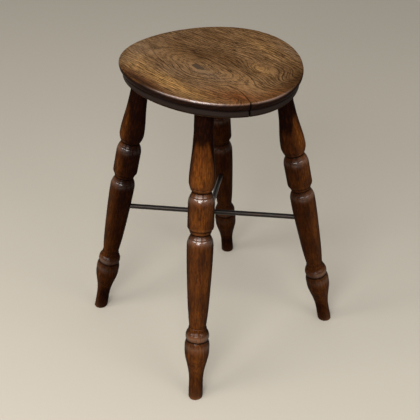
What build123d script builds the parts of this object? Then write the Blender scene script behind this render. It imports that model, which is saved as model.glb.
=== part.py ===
from build123d import *
import math
import os

# Round elm stool: a cupped plank seat with a moulded edge, four splayed turned legs tenoned
# into blind sockets, and two round iron rods that cross between the legs.
# Millimetres, +Z up, origin on the floor midway between the feet. The front leg is on -Y.

# ---- seat -----------------------------------------------------------------------------
seat_height = 583.5          # floor to the top of the seat, on its lowest line
seat_thickness = 29.0
seat_length = 352.0          # along the grain
seat_width = 320.0           # across the grain, less than the length because elm shrinks that way
seat_cup = 12.6              # how far the two long-grain rims have risen above the lowest line
grain_angle = -45.0          # direction of the grain in plan
seat_shift = (-1.0, 6.0)     # middle of the seat in plan

# edge moulding, measured down from the top edge and in from the widest line
nosing_round = 2.8           # inset of the top arris
nosing_widest = 6.0          # depth of the widest line
nosing_depth = 15.0          # depth of the nosing's lower lip
nosing_tuck = 5.0            # inset of the lower lip
nosing_belly = 1.3           # how far the slope below the widest line bulges
quirk_inset = 9.0            # inset of the groove under the nosing
quirk_drop = 1.0             # how far the groove's root lies below the lip
bead_inset = 6.0             # inset of the lower bead's face
bead_ledge = 4.0             # height of the sloping ledge on top of the bead
bead_ease = 1.6              # easing of the bottom edge

# drying split, from its inner end to past the rim: (in from the seat's end along the grain,
# across the grain from the middle)
split_route = ((82.0, -33.0), (55.0, -31.0), (36.0, -36.0), (14.0, -44.5), (-10.0, -55.0))
split_width = 2.2            # at the rim, closing to nothing at the inner end

# lozenge patch let into the top, corners as (along the grain, across the grain)
patch_corners = ((-20.0, -19.5), (7.5, -19.5), (14.0, -26.0), (3.5, -33.0), (-17.0, -30.5))
patch_depth = 6.0
patch_clearance = 0.15

# ---- legs -----------------------------------------------------------------------------
foot_circle = 244.2          # radius from the origin to each foot
socket_inset = 34.3          # from the seat's long-grain rim in to the circle of the sockets
# each leg: direction in plan, stray of the foot, stray of the socket from those circles
leg_places = {
    "leg_front": (-90.0, (-1.6, 0.2), (4.5, 2.5)),
    "leg_right": (0.0, (0.9, 17.7), (4.9, -11.1)),
    "leg_back": (90.0, (11.3, -0.4), (-6.4, -2.2)),
    "leg_left": (180.0, (-1.2, 4.0), (-0.6, 8.9)),
}

# turned outline from the floor up, each height measured from the place before it
toe_radius = 13.9
toe_height = 12.0
toe_wear = 1.8               # worn edge that meets the floor
ankle_radius = 13.6
ankle_rise = 22.0
bulb_radius = 23.9
bulb_rise = 68.0
bulb_hollow = 0.40           # share of the swell from ankle to bulb that is reached half way up
bulb_neck_radius = 20.6      # groove between the bulb and the ring
bulb_neck_rise = 23.3
ring_radius = 22.8
ring_width = 15.1
ring_top_radius = 21.2
collar_radius = 21.0         # collar above the ring, from its foot to its small top edge
collar_lean = 0.9            # slope of the collar's side at its foot
collar_width = 9.7
collar_lip = 1.0             # small step at the top of the collar
shin_radius = 16.4           # thinnest place of the long taper
shin_rise = 5.2
shin_lean = 0.13             # slope of the taper's side where it leaves the shin
thigh_radius = 24.7          # thickest place of the long taper
taper_length = 157.5
taper_belly = 0.69           # share of the taper's swell that is reached half way up
thigh_width = 3.8            # straight part above the taper
barrel_radius = 24.5
barrel_lip_radii = (19.5, 21.0)   # foot and top of the narrow lip under the barrel
barrel_foot_height = 13.4    # from the foot of that lip to the full radius
barrel_lean = 1.2            # slope of the side just above the lip
barrel_width = 42.0          # straight part
vase_lip_radii = (19.0, 21.6)     # foot and top of the narrow lip under the vase
vase_radius = 24.1
vase_rise = 16.9             # from the foot of the lip to the widest place
vase_lean = 0.4              # slope of the side just above the lip
neck_radii = {               # where each leg meets the seat, as each was turned by eye
    "leg_front": 17.5,
    "leg_right": 15.6,
    "leg_back": 17.0,
    "leg_left": 17.0,
}
neck_hollow = 0.28           # share of the vase's swell that is left at the place named next
neck_hollow_place = 0.44     # share of the way from the widest place to the seat

# the shoulder, sloping band and V groove at the top of the taper and of the barrel
shoulder_width = 14.2        # rounding from the full radius to its upper edge
shoulder_radius = 21.6       # upper edge of the shoulder
shoulder_lean = 0.5          # slope of the side at that edge
band_foot_radius = 21.0      # sloping band under the groove
band_width = 7.1
band_top_radius = 17.9
groove_side = 0.6            # height of the lower side of the V groove
groove_radius = 17.0         # bottom of the V groove
groove_rise = 1.6            # from the bottom of the groove to the lip above it
lip_width = 5.2              # narrow lip above the groove
cut_side = 0.6               # height of each side of the small cuts between the members
cut_depth = 0.7

tenon_radius = 12.5
socket_cover = 6.6           # wood left between a blind socket and the top of the seat
tenon_clearance = 0.1        # around the tenon and at the shoulder
tenon_end_gap = 0.4
tenon_chamfer = 0.8

# ---- iron rods ------------------------------------------------------------------------
rod_radius = 5.0
side_rod_height = 263.0      # left to right, level
back_rod_height = 246.6      # height of the front-to-back rod at the back leg
rod_crossing_gap = 3.2       # clear space where it passes over the side rod
rod_crossing_shift = -1.1    # crossing place, from the middle of the side rod
rod_reach = 6.0              # how far each end goes past the leg's axis
rod_clearance = 0.1
rod_end_gap = 0.3
rod_end_chamfer = 0.8


# ---- shared places --------------------------------------------------------------------
half_length = seat_length / 2
half_width = seat_width / 2
socket_circle = half_width - socket_inset
tenon_length = seat_thickness - socket_cover - tenon_end_gap
cup_radius = (half_width**2 + seat_cup**2) / (2 * seat_cup)
seat_middle = Vector(seat_shift[0], seat_shift[1], 0)
grain = Vector(math.cos(math.radians(grain_angle)), math.sin(math.radians(grain_angle)), 0)
cross_grain = Vector(-grain.Y, grain.X, 0)
overhang = 30.0              # how far raw stock and cutters stand past the finished shape


def seat_point(along, across, z=0.0):
    """Place on the seat, from its middle, along and across the grain."""
    return seat_middle + grain * along + cross_grain * across + Vector(0, 0, z)


def top_height(across):
    """Height of the cupped top at a distance across the grain."""
    return seat_height + cup_radius - math.sqrt(cup_radius**2 - across**2)


def underside_height(across):
    """Height of the cupped underside at a distance across the grain."""
    lower = cup_radius + seat_thickness
    return seat_height + cup_radius - math.sqrt(lower**2 - across**2)


def leg_ends(name):
    """Foot on the floor and socket mouth on the seat's underside, on the leg's axis."""
    angle, foot_stray, socket_stray = leg_places[name]
    way = Vector(math.cos(math.radians(angle)), math.sin(math.radians(angle)), 0)
    foot = way * foot_circle + Vector(foot_stray[0], foot_stray[1], 0)
    mouth = seat_middle + way * socket_circle + Vector(socket_stray[0], socket_stray[1], 0)
    across = (mouth - seat_middle).dot(cross_grain)
    return foot, mouth + Vector(0, 0, underside_height(across))


def on_leg(name, height):
    """Point of a leg's axis at a height above the floor."""
    foot, mouth = leg_ends(name)
    return foot + (mouth - foot) * (height / mouth.Z)


def nearest_on_ray(start, through, line_start, line_end):
    """Point of the ray from start through a point that comes nearest to a line."""
    ray = (through - start).normalized()
    line = (line_end - line_start).normalized()
    between = start - line_start
    cosine = ray.dot(line)
    reach = (cosine * line.dot(between) - ray.dot(between)) / (1 - cosine**2)
    return start + ray * reach


# ---- seat -----------------------------------------------------------------------------
def cupped_plank(lower_bottom=0.0):
    """Plank bent across the grain, wider and longer than the seat."""
    reach = half_width + overhang
    top = seat_height
    bottom = seat_height - seat_thickness - lower_bottom
    bottom_radius = cup_radius + seat_thickness + lower_bottom
    top_edge = top_height(reach)
    bottom_edge = bottom + bottom_radius - math.sqrt(bottom_radius**2 - reach**2)
    section = Plane(origin=seat_middle, x_dir=cross_grain, z_dir=cross_grain.cross(Vector(0, 0, 1)))
    with BuildSketch(section) as end_grain:
        with BuildLine():
            ThreePointArc((-reach, top_edge), (0, top), (reach, top_edge))
            Line((reach, top_edge), (reach, bottom_edge))
            ThreePointArc((reach, bottom_edge), (0, bottom), (-reach, bottom_edge))
            Line((-reach, bottom_edge), (-reach, top_edge))
        make_face()
    return extrude(end_grain.sketch, amount=half_length + overhang, both=True)


def oval_column(grow):
    """Upright oval column of the seat's plan, grown by an amount all round."""
    low = Vector(seat_middle.X, seat_middle.Y, seat_height - 3 * seat_thickness)
    plan = Plane(origin=low, x_dir=grain, z_dir=(0, 0, 1))
    return extrude(plan * Ellipse(half_length + grow, half_width + grow), amount=6 * seat_thickness)


def rim_edges(blank):
    """Top and bottom outlines of an oval piece of the plank."""
    curved = blank.faces().filter_by(GeomType.CYLINDER).sort_by(Axis.Z)
    return curved[-1].outer_wire().edges()[0], curved[0].outer_wire().edges()[0]


def moulding_waste():
    """The ring of wood that the edge moulding takes away, swept round the cupped rim."""
    top_rim, bottom_rim = rim_edges(cupped_plank() & oval_column(0))
    start = top_rim @ 0
    tangent = top_rim % 0
    outward = Vector(tangent.Y, -tangent.X, 0).normalized()
    if outward.dot(start - seat_middle) < 0:
        outward = outward * -1
    quirk = nosing_depth + quirk_drop
    ledge = quirk + bead_ledge
    above = nosing_round * 2
    below = seat_thickness + overhang / 3
    away = overhang / 2
    cut = Plane(origin=start, x_dir=outward, z_dir=outward.cross(Vector(0, 0, 1)))
    with BuildSketch(cut) as waste:
        with BuildLine():
            Line((-nosing_round, above), (-nosing_round, 0))
            EllipticalCenterArc((-nosing_round, -nosing_widest), nosing_round, nosing_widest, arc_size=90)
            lip = (-nosing_tuck, -nosing_depth)
            SagittaArc((0, -nosing_widest), lip, nosing_belly)
            Polyline(
                lip,
                (-quirk_inset, -quirk),
                (-bead_inset, -ledge),
                (-bead_inset, -seat_thickness + bead_ease),
                (-bead_inset - bead_ease, -seat_thickness),
                (-bead_inset - bead_ease, -below),
                (away, -below),
                (away, above),
                (-nosing_round, above),
            )
        make_face()
    return sweep(waste.sketch, path=top_rim, binormal=bottom_rim)


def split_waste():
    """Thin wedge along the drying split, through the whole thickness."""
    route = [(half_length - inwards, across) for inwards, across in split_route]
    run = len(route) - 1
    one_side = []
    other_side = []
    for step in range(1, run + 1):
        along, across = route[step]
        before = route[step - 1]
        length = math.dist(before, (along, across))
        normal = ((before[1] - across) / length, (along - before[0]) / length)
        half = split_width / 2 * step / run
        one_side.append((along + normal[0] * half, across + normal[1] * half))
        other_side.insert(0, (along - normal[0] * half, across - normal[1] * half))
    low = seat_point(0, 0, seat_height - 2 * seat_thickness)
    plan = Plane(origin=low, x_dir=grain, z_dir=(0, 0, 1))
    outline = Polyline(route[0], *one_side, *other_side, close=True)
    return extrude(plan * make_face(outline), amount=4 * seat_thickness)


def patch_prism(grow, depth):
    """Upright prism on the patch's outline, from a depth below the top upwards."""
    outline = make_face(Polyline(*patch_corners, close=True))
    if grow:
        outline = offset(outline, amount=grow)
    mean_across = sum(corner[1] for corner in patch_corners) / len(patch_corners)
    low = seat_point(0, 0, top_height(mean_across) - depth)
    plan = Plane(origin=low, x_dir=grain, z_dir=(0, 0, 1))
    return extrude(plan * outline, amount=depth + overhang)


def make_seat():
    seat = cupped_plank() & oval_column(overhang / 4)
    seat = seat - split_waste() - patch_prism(0, patch_depth)
    for name in leg_places:
        foot, mouth = leg_ends(name)
        up = (mouth - foot).normalized()
        depth = tenon_length + tenon_end_gap
        socket = Plane(origin=mouth - up * overhang, z_dir=up) * Cylinder(
            tenon_radius + tenon_clearance,
            overhang + depth,
            align=(Align.CENTER, Align.CENTER, Align.MIN),
        )
        seat -= socket
    return seat - moulding_waste()


def make_patch():
    return patch_prism(-patch_clearance, patch_depth - patch_clearance) & cupped_plank()


# ---- legs -----------------------------------------------------------------------------
def small_cut(height, lower_radius, upper_radius):
    """Edges of a small V cut that starts at a height, and the height where it ends."""
    bottom = (min(lower_radius, upper_radius) - cut_depth, height + cut_side)
    end = height + 2 * cut_side
    return [Line((lower_radius, height), bottom), Line(bottom, (upper_radius, end))], end


def shoulder(start, full_radius):
    """Edges of a turned shoulder from its full radius up to the groove, and the groove's height."""
    edge = start + shoulder_width
    cut, band_foot = small_cut(edge, shoulder_radius, band_foot_radius)
    band_top = band_foot + band_width
    groove = band_top + groove_side
    edges = [
        Spline(
            (full_radius, start),
            (shoulder_radius, edge),
            tangents=((0, 1), (-shoulder_lean, 1)),
        ),
        *cut,
        Line((band_foot_radius, band_foot), (band_top_radius, band_top)),
        Line((band_top_radius, band_top), (groove_radius, groove)),
    ]
    return edges, groove


def lip(groove, radii, full_radius, full, lean):
    """Edges from a groove's bottom up a narrow lip and round to the full radius."""
    foot_radius, top_radius = radii
    foot = groove + groove_rise
    top = foot + lip_width
    swell_radius = top_radius + cut_depth / 2
    cut, swell = small_cut(top, top_radius, swell_radius)
    return [
        Line((groove_radius, groove), (foot_radius, foot)),
        Line((foot_radius, foot), (top_radius, top)),
        *cut,
        Spline((swell_radius, swell), (full_radius, full), tangents=((lean, 1), (0, 1))),
    ]


def leg_outline(length, neck_radius):
    """Half outline of the leg in its own XZ plane, from below the floor to above the neck."""
    stub = -overhang / 3
    top = length + overhang / 2
    ankle = toe_height + ankle_rise
    bulb = ankle + bulb_rise
    bulb_neck = bulb + bulb_neck_rise
    ring_top = bulb_neck + ring_width
    ring_cut, collar_foot = small_cut(ring_top, ring_top_radius, collar_radius)
    collar_top = collar_foot + collar_width
    shin = collar_top + shin_rise
    thigh = shin + taper_length
    thigh_top = thigh + thigh_width
    lower_shoulder, lower_groove = shoulder(thigh_top, thigh_radius)
    barrel = lower_groove + groove_rise + barrel_foot_height
    barrel_top = barrel + barrel_width
    upper_shoulder, upper_groove = shoulder(barrel_top, barrel_radius)
    vase = upper_groove + groove_rise + vase_rise
    hollow_radius = ankle_radius + (bulb_radius - ankle_radius) * bulb_hollow
    belly_radius = shin_radius + (thigh_radius - shin_radius) * taper_belly
    throat_radius = neck_radius + (vase_radius - neck_radius) * neck_hollow
    throat = vase + (length - vase) * neck_hollow_place
    upright = (0, 1)
    inwards = (-1, 1)
    return [
        Line((0, stub), (toe_radius, stub)),
        Line((toe_radius, stub), (toe_radius, toe_height)),
        Spline(
            (toe_radius, toe_height),
            (ankle_radius, ankle),
            (hollow_radius, ankle + bulb_rise / 2),
            (bulb_radius, bulb),
            tangents=(upright, upright),
        ),
        Spline((bulb_radius, bulb), (bulb_neck_radius, bulb_neck), tangents=(upright, inwards)),
        ThreePointArc(
            (bulb_neck_radius, bulb_neck),
            (ring_radius, bulb_neck + ring_width / 2),
            (ring_top_radius, ring_top),
        ),
        *ring_cut,
        Spline(
            (collar_radius, collar_foot),
            (shin_radius + collar_lip, collar_top),
            tangents=((-collar_lean, 1), upright),
        ),
        Line((shin_radius + collar_lip, collar_top), (shin_radius, collar_top + collar_lip)),
        Line((shin_radius, collar_top + collar_lip), (shin_radius, shin)),
        Spline(
            (shin_radius, shin),
            (belly_radius, shin + taper_length / 2),
            (thigh_radius, thigh),
            tangents=((shin_lean, 1), upright),
        ),
        Line((thigh_radius, thigh), (thigh_radius, thigh_top)),
        *lower_shoulder,
        *lip(lower_groove, barrel_lip_radii, barrel_radius, barrel, barrel_lean),
        Line((barrel_radius, barrel), (barrel_radius, barrel_top)),
        *upper_shoulder,
        *lip(upper_groove, vase_lip_radii, vase_radius, vase, vase_lean),
        Spline(
            (vase_radius, vase),
            (throat_radius, throat),
            (neck_radius, length),
            tangents=(upright, upright),
        ),
        Line((neck_radius, length), (neck_radius, top)),
        Line((neck_radius, top), (0, top)),
        Line((0, top), (0, stub)),
    ]


def rod_line(name):
    """Two ends of a rod's axis, each a little past the axis of the leg that holds it."""
    left = on_leg("leg_left", side_rod_height)
    right = on_leg("leg_right", side_rod_height)
    if name == "rod_side_to_side":
        near, far = left, right
    else:
        along = (right - left).normalized()
        crossing = (left + right) / 2 + along * rod_crossing_shift
        crossing += Vector(0, 0, 2 * rod_radius + rod_crossing_gap)
        far = on_leg("leg_back", back_rod_height)
        near = nearest_on_ray(far, crossing, *leg_ends("leg_front"))
    way = (far - near).normalized()
    return near - way * rod_reach, far + way * rod_reach


rod_holders = {
    "rod_side_to_side": ("leg_left", "leg_right"),
    "rod_front_to_back": ("leg_front", "leg_back"),
}


def rod_hole(rod, leg):
    """Blind hole in a leg for one end of a rod."""
    near, far = rod_line(rod)
    if leg == rod_holders[rod][1]:
        near, far = far, near
    way = (far - near).normalized()
    length = rod_reach + thigh_radius + overhang
    return Plane(origin=near - way * rod_end_gap, z_dir=way) * Cylinder(
        rod_radius + rod_clearance, length, align=(Align.CENTER, Align.CENTER, Align.MIN)
    )


def make_leg(name):
    foot, mouth = leg_ends(name)
    up = (mouth - foot).normalized()
    length = (mouth - foot).length
    stand = Plane(origin=foot, z_dir=up)
    outline = make_face([Plane.XZ * edge for edge in leg_outline(length, neck_radii[name])])
    turned = stand * revolve(outline, axis=Axis.Z)
    floor_waste = Pos(foot.X, foot.Y, 0) * Box(
        6 * toe_radius, 6 * toe_radius, overhang, align=(Align.CENTER, Align.CENTER, Align.MAX)
    )
    leg = turned - floor_waste - cupped_plank(lower_bottom=tenon_clearance)
    sole = leg.faces().sort_by(Axis.Z)[0]
    leg = chamfer(sole.edges(), toe_wear)
    tenon = Cylinder(
        tenon_radius, tenon_length + overhang, align=(Align.CENTER, Align.CENTER, Align.MIN)
    )
    tenon = chamfer(tenon.edges().sort_by(Axis.Z)[-1], tenon_chamfer)
    leg += Plane(origin=mouth - up * overhang, z_dir=up) * tenon
    for rod, holders in rod_holders.items():
        if name in holders:
            leg -= rod_hole(rod, name)
    return leg


def make_rod(name):
    near, far = rod_line(name)
    bar = Cylinder(rod_radius, (far - near).length, align=(Align.CENTER, Align.CENTER, Align.MIN))
    bar = chamfer(bar.edges().filter_by(GeomType.CIRCLE), rod_end_chamfer)
    return Plane(origin=near, z_dir=(far - near).normalized()) * bar


pieces = {"seat": make_seat(), "seat_patch": make_patch()}
for leg_name in leg_places:
    pieces[leg_name] = make_leg(leg_name)
for rod_name in rod_holders:
    pieces[rod_name] = make_rod(rod_name)

os.makedirs("parts", exist_ok=True)
for name, piece in pieces.items():
    export_step(piece, f"parts/{name}.step")
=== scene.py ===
import math
from functools import partial

import bmesh
import bpy
import numpy as np
from bpy.props import FloatProperty, FloatVectorProperty, IntProperty, PointerProperty
from bpy.types import Operator, Panel, PropertyGroup
from mathutils import Matrix, Vector


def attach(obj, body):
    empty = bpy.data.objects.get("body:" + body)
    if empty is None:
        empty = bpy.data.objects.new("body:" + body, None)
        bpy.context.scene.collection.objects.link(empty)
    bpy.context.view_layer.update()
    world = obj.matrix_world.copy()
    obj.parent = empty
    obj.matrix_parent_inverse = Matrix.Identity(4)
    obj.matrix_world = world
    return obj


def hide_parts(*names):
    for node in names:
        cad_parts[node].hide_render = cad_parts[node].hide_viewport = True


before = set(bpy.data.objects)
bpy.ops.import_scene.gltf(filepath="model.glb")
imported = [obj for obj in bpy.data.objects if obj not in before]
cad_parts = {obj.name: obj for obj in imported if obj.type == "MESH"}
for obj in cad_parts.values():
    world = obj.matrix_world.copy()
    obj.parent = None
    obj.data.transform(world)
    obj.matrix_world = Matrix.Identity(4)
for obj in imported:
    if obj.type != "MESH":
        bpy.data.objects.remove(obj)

bl_info = {
    "name": "Round elm stool",
    "version": (1, 0, 0),
    "blender": (4, 5, 0),
    "location": "3D View > Sidebar > Stool",
    "description": "Makes a cupped elm stool with turned legs and iron rods around its fixed frame",
    "category": "Add Mesh",
}

MM = 0.001
SHARP_ANGLE = 32.0           # degrees between two faces above which their edge stays crisp

# the kinds of node that come most often
MATH = "ShaderNodeMath"
VECTOR = "ShaderNodeVectorMath"
NOISE = "ShaderNodeTexNoise"
RANGE = "ShaderNodeMapRange"


# ---- small helpers ----------------------------------------------------------------------
def linear(colour):
    """An sRGB colour written as #rrggbb, as linear red, green and blue."""
    shares = [int(colour[i : i + 2], 16) / 255 for i in (1, 3, 5)]
    return tuple(s / 12.92 if s <= 0.04045 else ((s + 0.055) / 1.055) ** 2.4 for s in shares)


def length_setting(name, description, default):
    """A size that the user may change, in metres."""
    return FloatProperty(name=name, description=description, default=default, unit="LENGTH")


def colour_setting(name, description, default):
    """A colour that the user may change, given as #rrggbb."""
    return FloatVectorProperty(name=name, description=description, default=linear(default), subtype="COLOR")


def fill(tree, node, links):
    """Fills or joins a node's inputs, each found by its number or by the name it shows.

    A node given as a value stands for its first output in use.
    """
    for key, value in links.items():
        if isinstance(key, int):
            socket = node.inputs[key]
        else:
            socket = next(s for s in node.inputs if s.enabled and s.name == key)
        if isinstance(value, bpy.types.Node):
            value = next(s for s in value.outputs if s.enabled)
        if isinstance(value, bpy.types.NodeSocket):
            tree.links.new(value, socket)
        else:
            socket.default_value = value


def add(tree, kind, links=None, **settings):
    """Adds a node with its settings, and fills or joins its inputs."""
    node = tree.nodes.new(kind)
    for name, value in settings.items():
        setattr(node, name, value)
    fill(tree, node, links or {})
    return node


def smooth_step(value, low, high):
    """0 below low, 1 above high, and a smooth rise between them."""
    share = np.clip((value - low) / (high - low), 0, 1)
    return share * share * (3 - 2 * share)


def hill(value, middle, reach):
    """1 at the middle, and falling off smoothly to both sides."""
    return np.exp(-(((value - middle) / reach) ** 2))


def hills(along, across, places):
    """Sum of smooth round-topped hills, each as (along, across, reach along, reach across, height)."""
    total = np.zeros_like(along)
    for place_along, place_across, reach_along, reach_across, height in places:
        far = ((along - place_along) / reach_along) ** 2 + ((across - place_across) / reach_across) ** 2
        total += height * np.exp(-far)
    return total


def unit_rows(rows):
    """Rows of numbers, each made one unit long."""
    return rows / (np.linalg.norm(rows, axis=1, keepdims=True) + 1e-9)


def positions(mesh):
    """Vertex places of a mesh as rows of x, y and z."""
    flat = np.empty(len(mesh.vertices) * 3, np.float32)
    mesh.vertices.foreach_get("co", flat)
    return flat.reshape(-1, 3).astype(float)


def store(mesh, name, values):
    """Keeps one number for each vertex, which a material reads by name."""
    attribute = mesh.attributes.get(name) or mesh.attributes.new(name, "FLOAT", "POINT")
    attribute.data.foreach_set("value", np.asarray(values, np.float32))


def new_object(name, data):
    """Object that shows a mesh, a lamp or a camera in the scene."""
    obj = bpy.data.objects.new(name, data)
    bpy.context.scene.collection.objects.link(obj)
    return obj


def baked(obj):
    """Plain mesh of an object with its modifiers applied."""
    graph = bpy.context.evaluated_depsgraph_get()
    shape = obj.evaluated_get(graph)
    return bpy.data.meshes.new_from_object(shape, preserve_all_data_layers=True, depsgraph=graph)


def face_outwards(mesh):
    """Turns every face of a closed mesh outwards."""
    shape = bmesh.new()
    shape.from_mesh(mesh)
    bmesh.ops.recalc_face_normals(shape, faces=shape.faces)
    shape.to_mesh(mesh)
    shape.free()


def finish_piece(obj, node, material):
    """Smooths a piece, gives it its material and puts it in the place of its node."""
    obj.data.materials.clear()
    obj.data.materials.append(material)
    obj.data.shade_smooth()
    obj.data.set_sharp_from_angle(angle=math.radians(SHARP_ANGLE))
    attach(obj, "root")
    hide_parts(node)


def grid_of_rings(rings, columns):
    """Faces that join closed rings of vertices, with a fan at each end.

    The vertices are the first middle, then each ring in turn, then the last middle.
    """
    faces = []
    last = rings * columns + 1
    for column in range(columns):
        beside = (column + 1) % columns
        faces.append((0, 1 + column, 1 + beside))
        for ring in range(rings - 1):
            here = 1 + ring * columns
            below = here + columns
            faces.append((here + column, below + column, below + beside, here + beside))
        end = 1 + (rings - 1) * columns
        faces.append((end + column, last, end + beside))
    return faces


# ---- the seat's shape, in millimetres on the plank: along and across its grain ---------------
SEAT_HEIGHT = 583.5
SEAT_MIDDLE = (-1.0, 6.0)
SEAT_COLUMNS = 420
SEAT_TURNS = np.linspace(0, 2 * math.pi, SEAT_COLUMNS, endpoint=False)
TOP_RINGS = 64
UNDER_RINGS = 36
UNDER_INSET = 0.998          # keeps the underside's first ring off the bead's last one

SITTING_WEAR = 0.10
SITTING_FADE = 6             # power with which the wear fades out towards the rim
MIDDLE_WEAR = 0.125

NOSING_ROUND = 2.8
NOSING_WIDEST = 6.0
NOSING_DEPTH = 15.0
NOSING_TUCK = 5.0
NOSING_BELLY = 1.3
NOSING_STEPS = 10
BELLY_STEPS = 8
QUIRK_INSET = 9.0
QUIRK_DEPTH = 16.0
BEAD_INSET = 6.0
BEAD_DEPTH = 20.0
BEAD_EASE = 1.6

# knocks in the nosing, with their reach in radians round the seat and the rest in millimetres
KNOCKS = 46
KNOCK_REACH = (0.008, 0.03)
KNOCK_DEPTH = (0.15, 0.6)
KNOCK_LEVEL = (0.0, 9.0)
KNOCK_HEIGHT = 2.6

SPLIT_ROUTE = (
    (94, -33), (108, -31.2), (121, -31.2), (140, -36), (151, -40), (162, -44.5), (174, -49.5), (192, -58),
)
SPLIT_STEPS = 34
SPLIT_WAVER = 0.22
SPLIT_POINT = 1.0            # length of the tip past the first place of the route
SPLIT_TIP = 0.16             # share of the full width that the split has at its inner end
SPLIT_FLARE = 0.9
SPLIT_TEAR = (0.75, 1.25)
CUT_REACH = 60.0             # how far a cutter stands above and below the top

PATCH_CORNERS = ((-20.0, -19.5), (7.5, -19.5), (14.0, -26.0), (3.5, -33.0), (-17.0, -30.5))
PATCH_DEPTH = 6.0
PATCH_CLEARANCE = 0.15
PATCH_CORNER_CLEARANCE = 1.5     # a corner stands back this many times further than a side
PATCH_SUNK = 0.25
PATCH_ROUND = 0.35

SEEDS = {"knocks": 41, "split": 7, "rods": 11}


class SeatSettings(PropertyGroup):
    length: length_setting("Length", "Seat size along the grain", 0.352)
    width: length_setting("Width", "Seat size across the grain", 0.320)
    thickness: length_setting("Thickness", "Thickness of the plank", 0.029)
    cup: length_setting("Cup", "Rise of the two long-grain rims", 0.0126)
    grain_angle: FloatProperty(
        name="Grain angle",
        description="Direction of the grain in plan",
        default=math.radians(-45),
        subtype="ANGLE",
    )
    split_width: length_setting("Split width", "Width of the drying split at the rim", 0.0024)


def cup_radius(sizes):
    """Radius to which the plank has cupped, at its top, in millimetres."""
    half = sizes.width / 2 / MM
    cup = sizes.cup / MM
    return (half**2 + cup**2) / (2 * cup)


def cup_lift(across, sizes):
    """Height of the cupped top above its lowest line."""
    radius = cup_radius(sizes)
    return radius - np.sqrt(radius**2 - across**2)


def hand_wear(along, across):
    """Shallow hollows that years of sitting and scrubbing leave, as depths in millimetres."""
    # two crossing waves, 120 to 520 mm long
    waves = np.sin(along / 23 + across / 61) * np.sin(across / 19 - along / 83)
    return SITTING_WEAR + SITTING_WEAR * waves


def moulding_section(thickness):
    """Edge moulding from the top arris to the underside, as rows of (inset, drop)."""
    section = []
    for angle in np.linspace(0, math.pi / 2, NOSING_STEPS):
        section.append((NOSING_ROUND * (1 - math.sin(angle)), NOSING_WIDEST * (1 - math.cos(angle))))
    fall = NOSING_DEPTH - NOSING_WIDEST
    run = math.hypot(NOSING_TUCK, fall)
    for share in np.linspace(0, 1, BELLY_STEPS)[1:]:
        swell = 4 * NOSING_BELLY * share * (1 - share)
        inset = NOSING_TUCK * share - swell * fall / run
        section.append((inset, NOSING_WIDEST + fall * share + swell * NOSING_TUCK / run))
    # below the belly: the quirk with its eased corners, then the bead down to the underside
    return section + [
        (NOSING_TUCK + 0.7, NOSING_DEPTH + 0.5),
        (QUIRK_INSET, QUIRK_DEPTH),
        (QUIRK_INSET - 0.2, QUIRK_DEPTH + 0.5),
        (BEAD_INSET + 0.5, BEAD_DEPTH - 0.7),
        (BEAD_INSET + 0.05, BEAD_DEPTH),
        (BEAD_INSET, BEAD_DEPTH + 0.8),
        (BEAD_INSET, thickness - 4.0),
        (BEAD_INSET, thickness - BEAD_EASE),
        (BEAD_INSET + 0.4, thickness - BEAD_EASE / 3),
        (BEAD_INSET + BEAD_EASE, thickness),
    ]


def seat_rim(sizes, inset):
    """Ring of places at an inset from the seat's widest line, with the rim's own cup lift."""
    long_half = sizes.length / 2 / MM
    short_half = sizes.width / 2 / MM
    cosine, sine = np.cos(SEAT_TURNS), np.sin(SEAT_TURNS)
    normal_along = cosine / long_half
    normal_across = sine / short_half
    size = np.hypot(normal_along, normal_across)
    along = long_half * cosine - inset * normal_along / size
    across = short_half * sine - inset * normal_across / size
    return along, across, cup_lift(short_half * sine, sizes)


def to_room(along, across, height, sizes):
    """Places on the plank, in millimetres, as rows of x, y and z in the room, in metres."""
    turn = sizes.grain_angle
    x = SEAT_MIDDLE[0] + along * math.cos(turn) - across * math.sin(turn)
    y = SEAT_MIDDLE[1] + along * math.sin(turn) + across * math.cos(turn)
    return np.stack([x, y, height], axis=-1) * MM


def to_plank(places, sizes):
    """Along, across and height on the plank, in millimetres, of places in the room."""
    turn = sizes.grain_angle
    x = places[:, 0] / MM - SEAT_MIDDLE[0]
    y = places[:, 1] / MM - SEAT_MIDDLE[1]
    along = x * math.cos(turn) + y * math.sin(turn)
    across = -x * math.sin(turn) + y * math.cos(turn)
    return along, across, places[:, 2] / MM


def knock_depth(drop):
    """How far knocks have dented the nosing at a drop below the top, all the way round."""
    dice = np.random.default_rng(SEEDS["knocks"])
    depth = np.zeros_like(SEAT_TURNS)
    for _ in range(KNOCKS):
        place = dice.uniform(0, 2 * math.pi)
        reach = dice.uniform(*KNOCK_REACH)
        strength = dice.uniform(*KNOCK_DEPTH)
        level = dice.uniform(*KNOCK_LEVEL)
        apart = (SEAT_TURNS - place + math.pi) % (2 * math.pi) - math.pi
        depth += strength * np.exp(-((apart / reach) ** 2) - ((drop - level) / KNOCK_HEIGHT) ** 2)
    return depth


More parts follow.
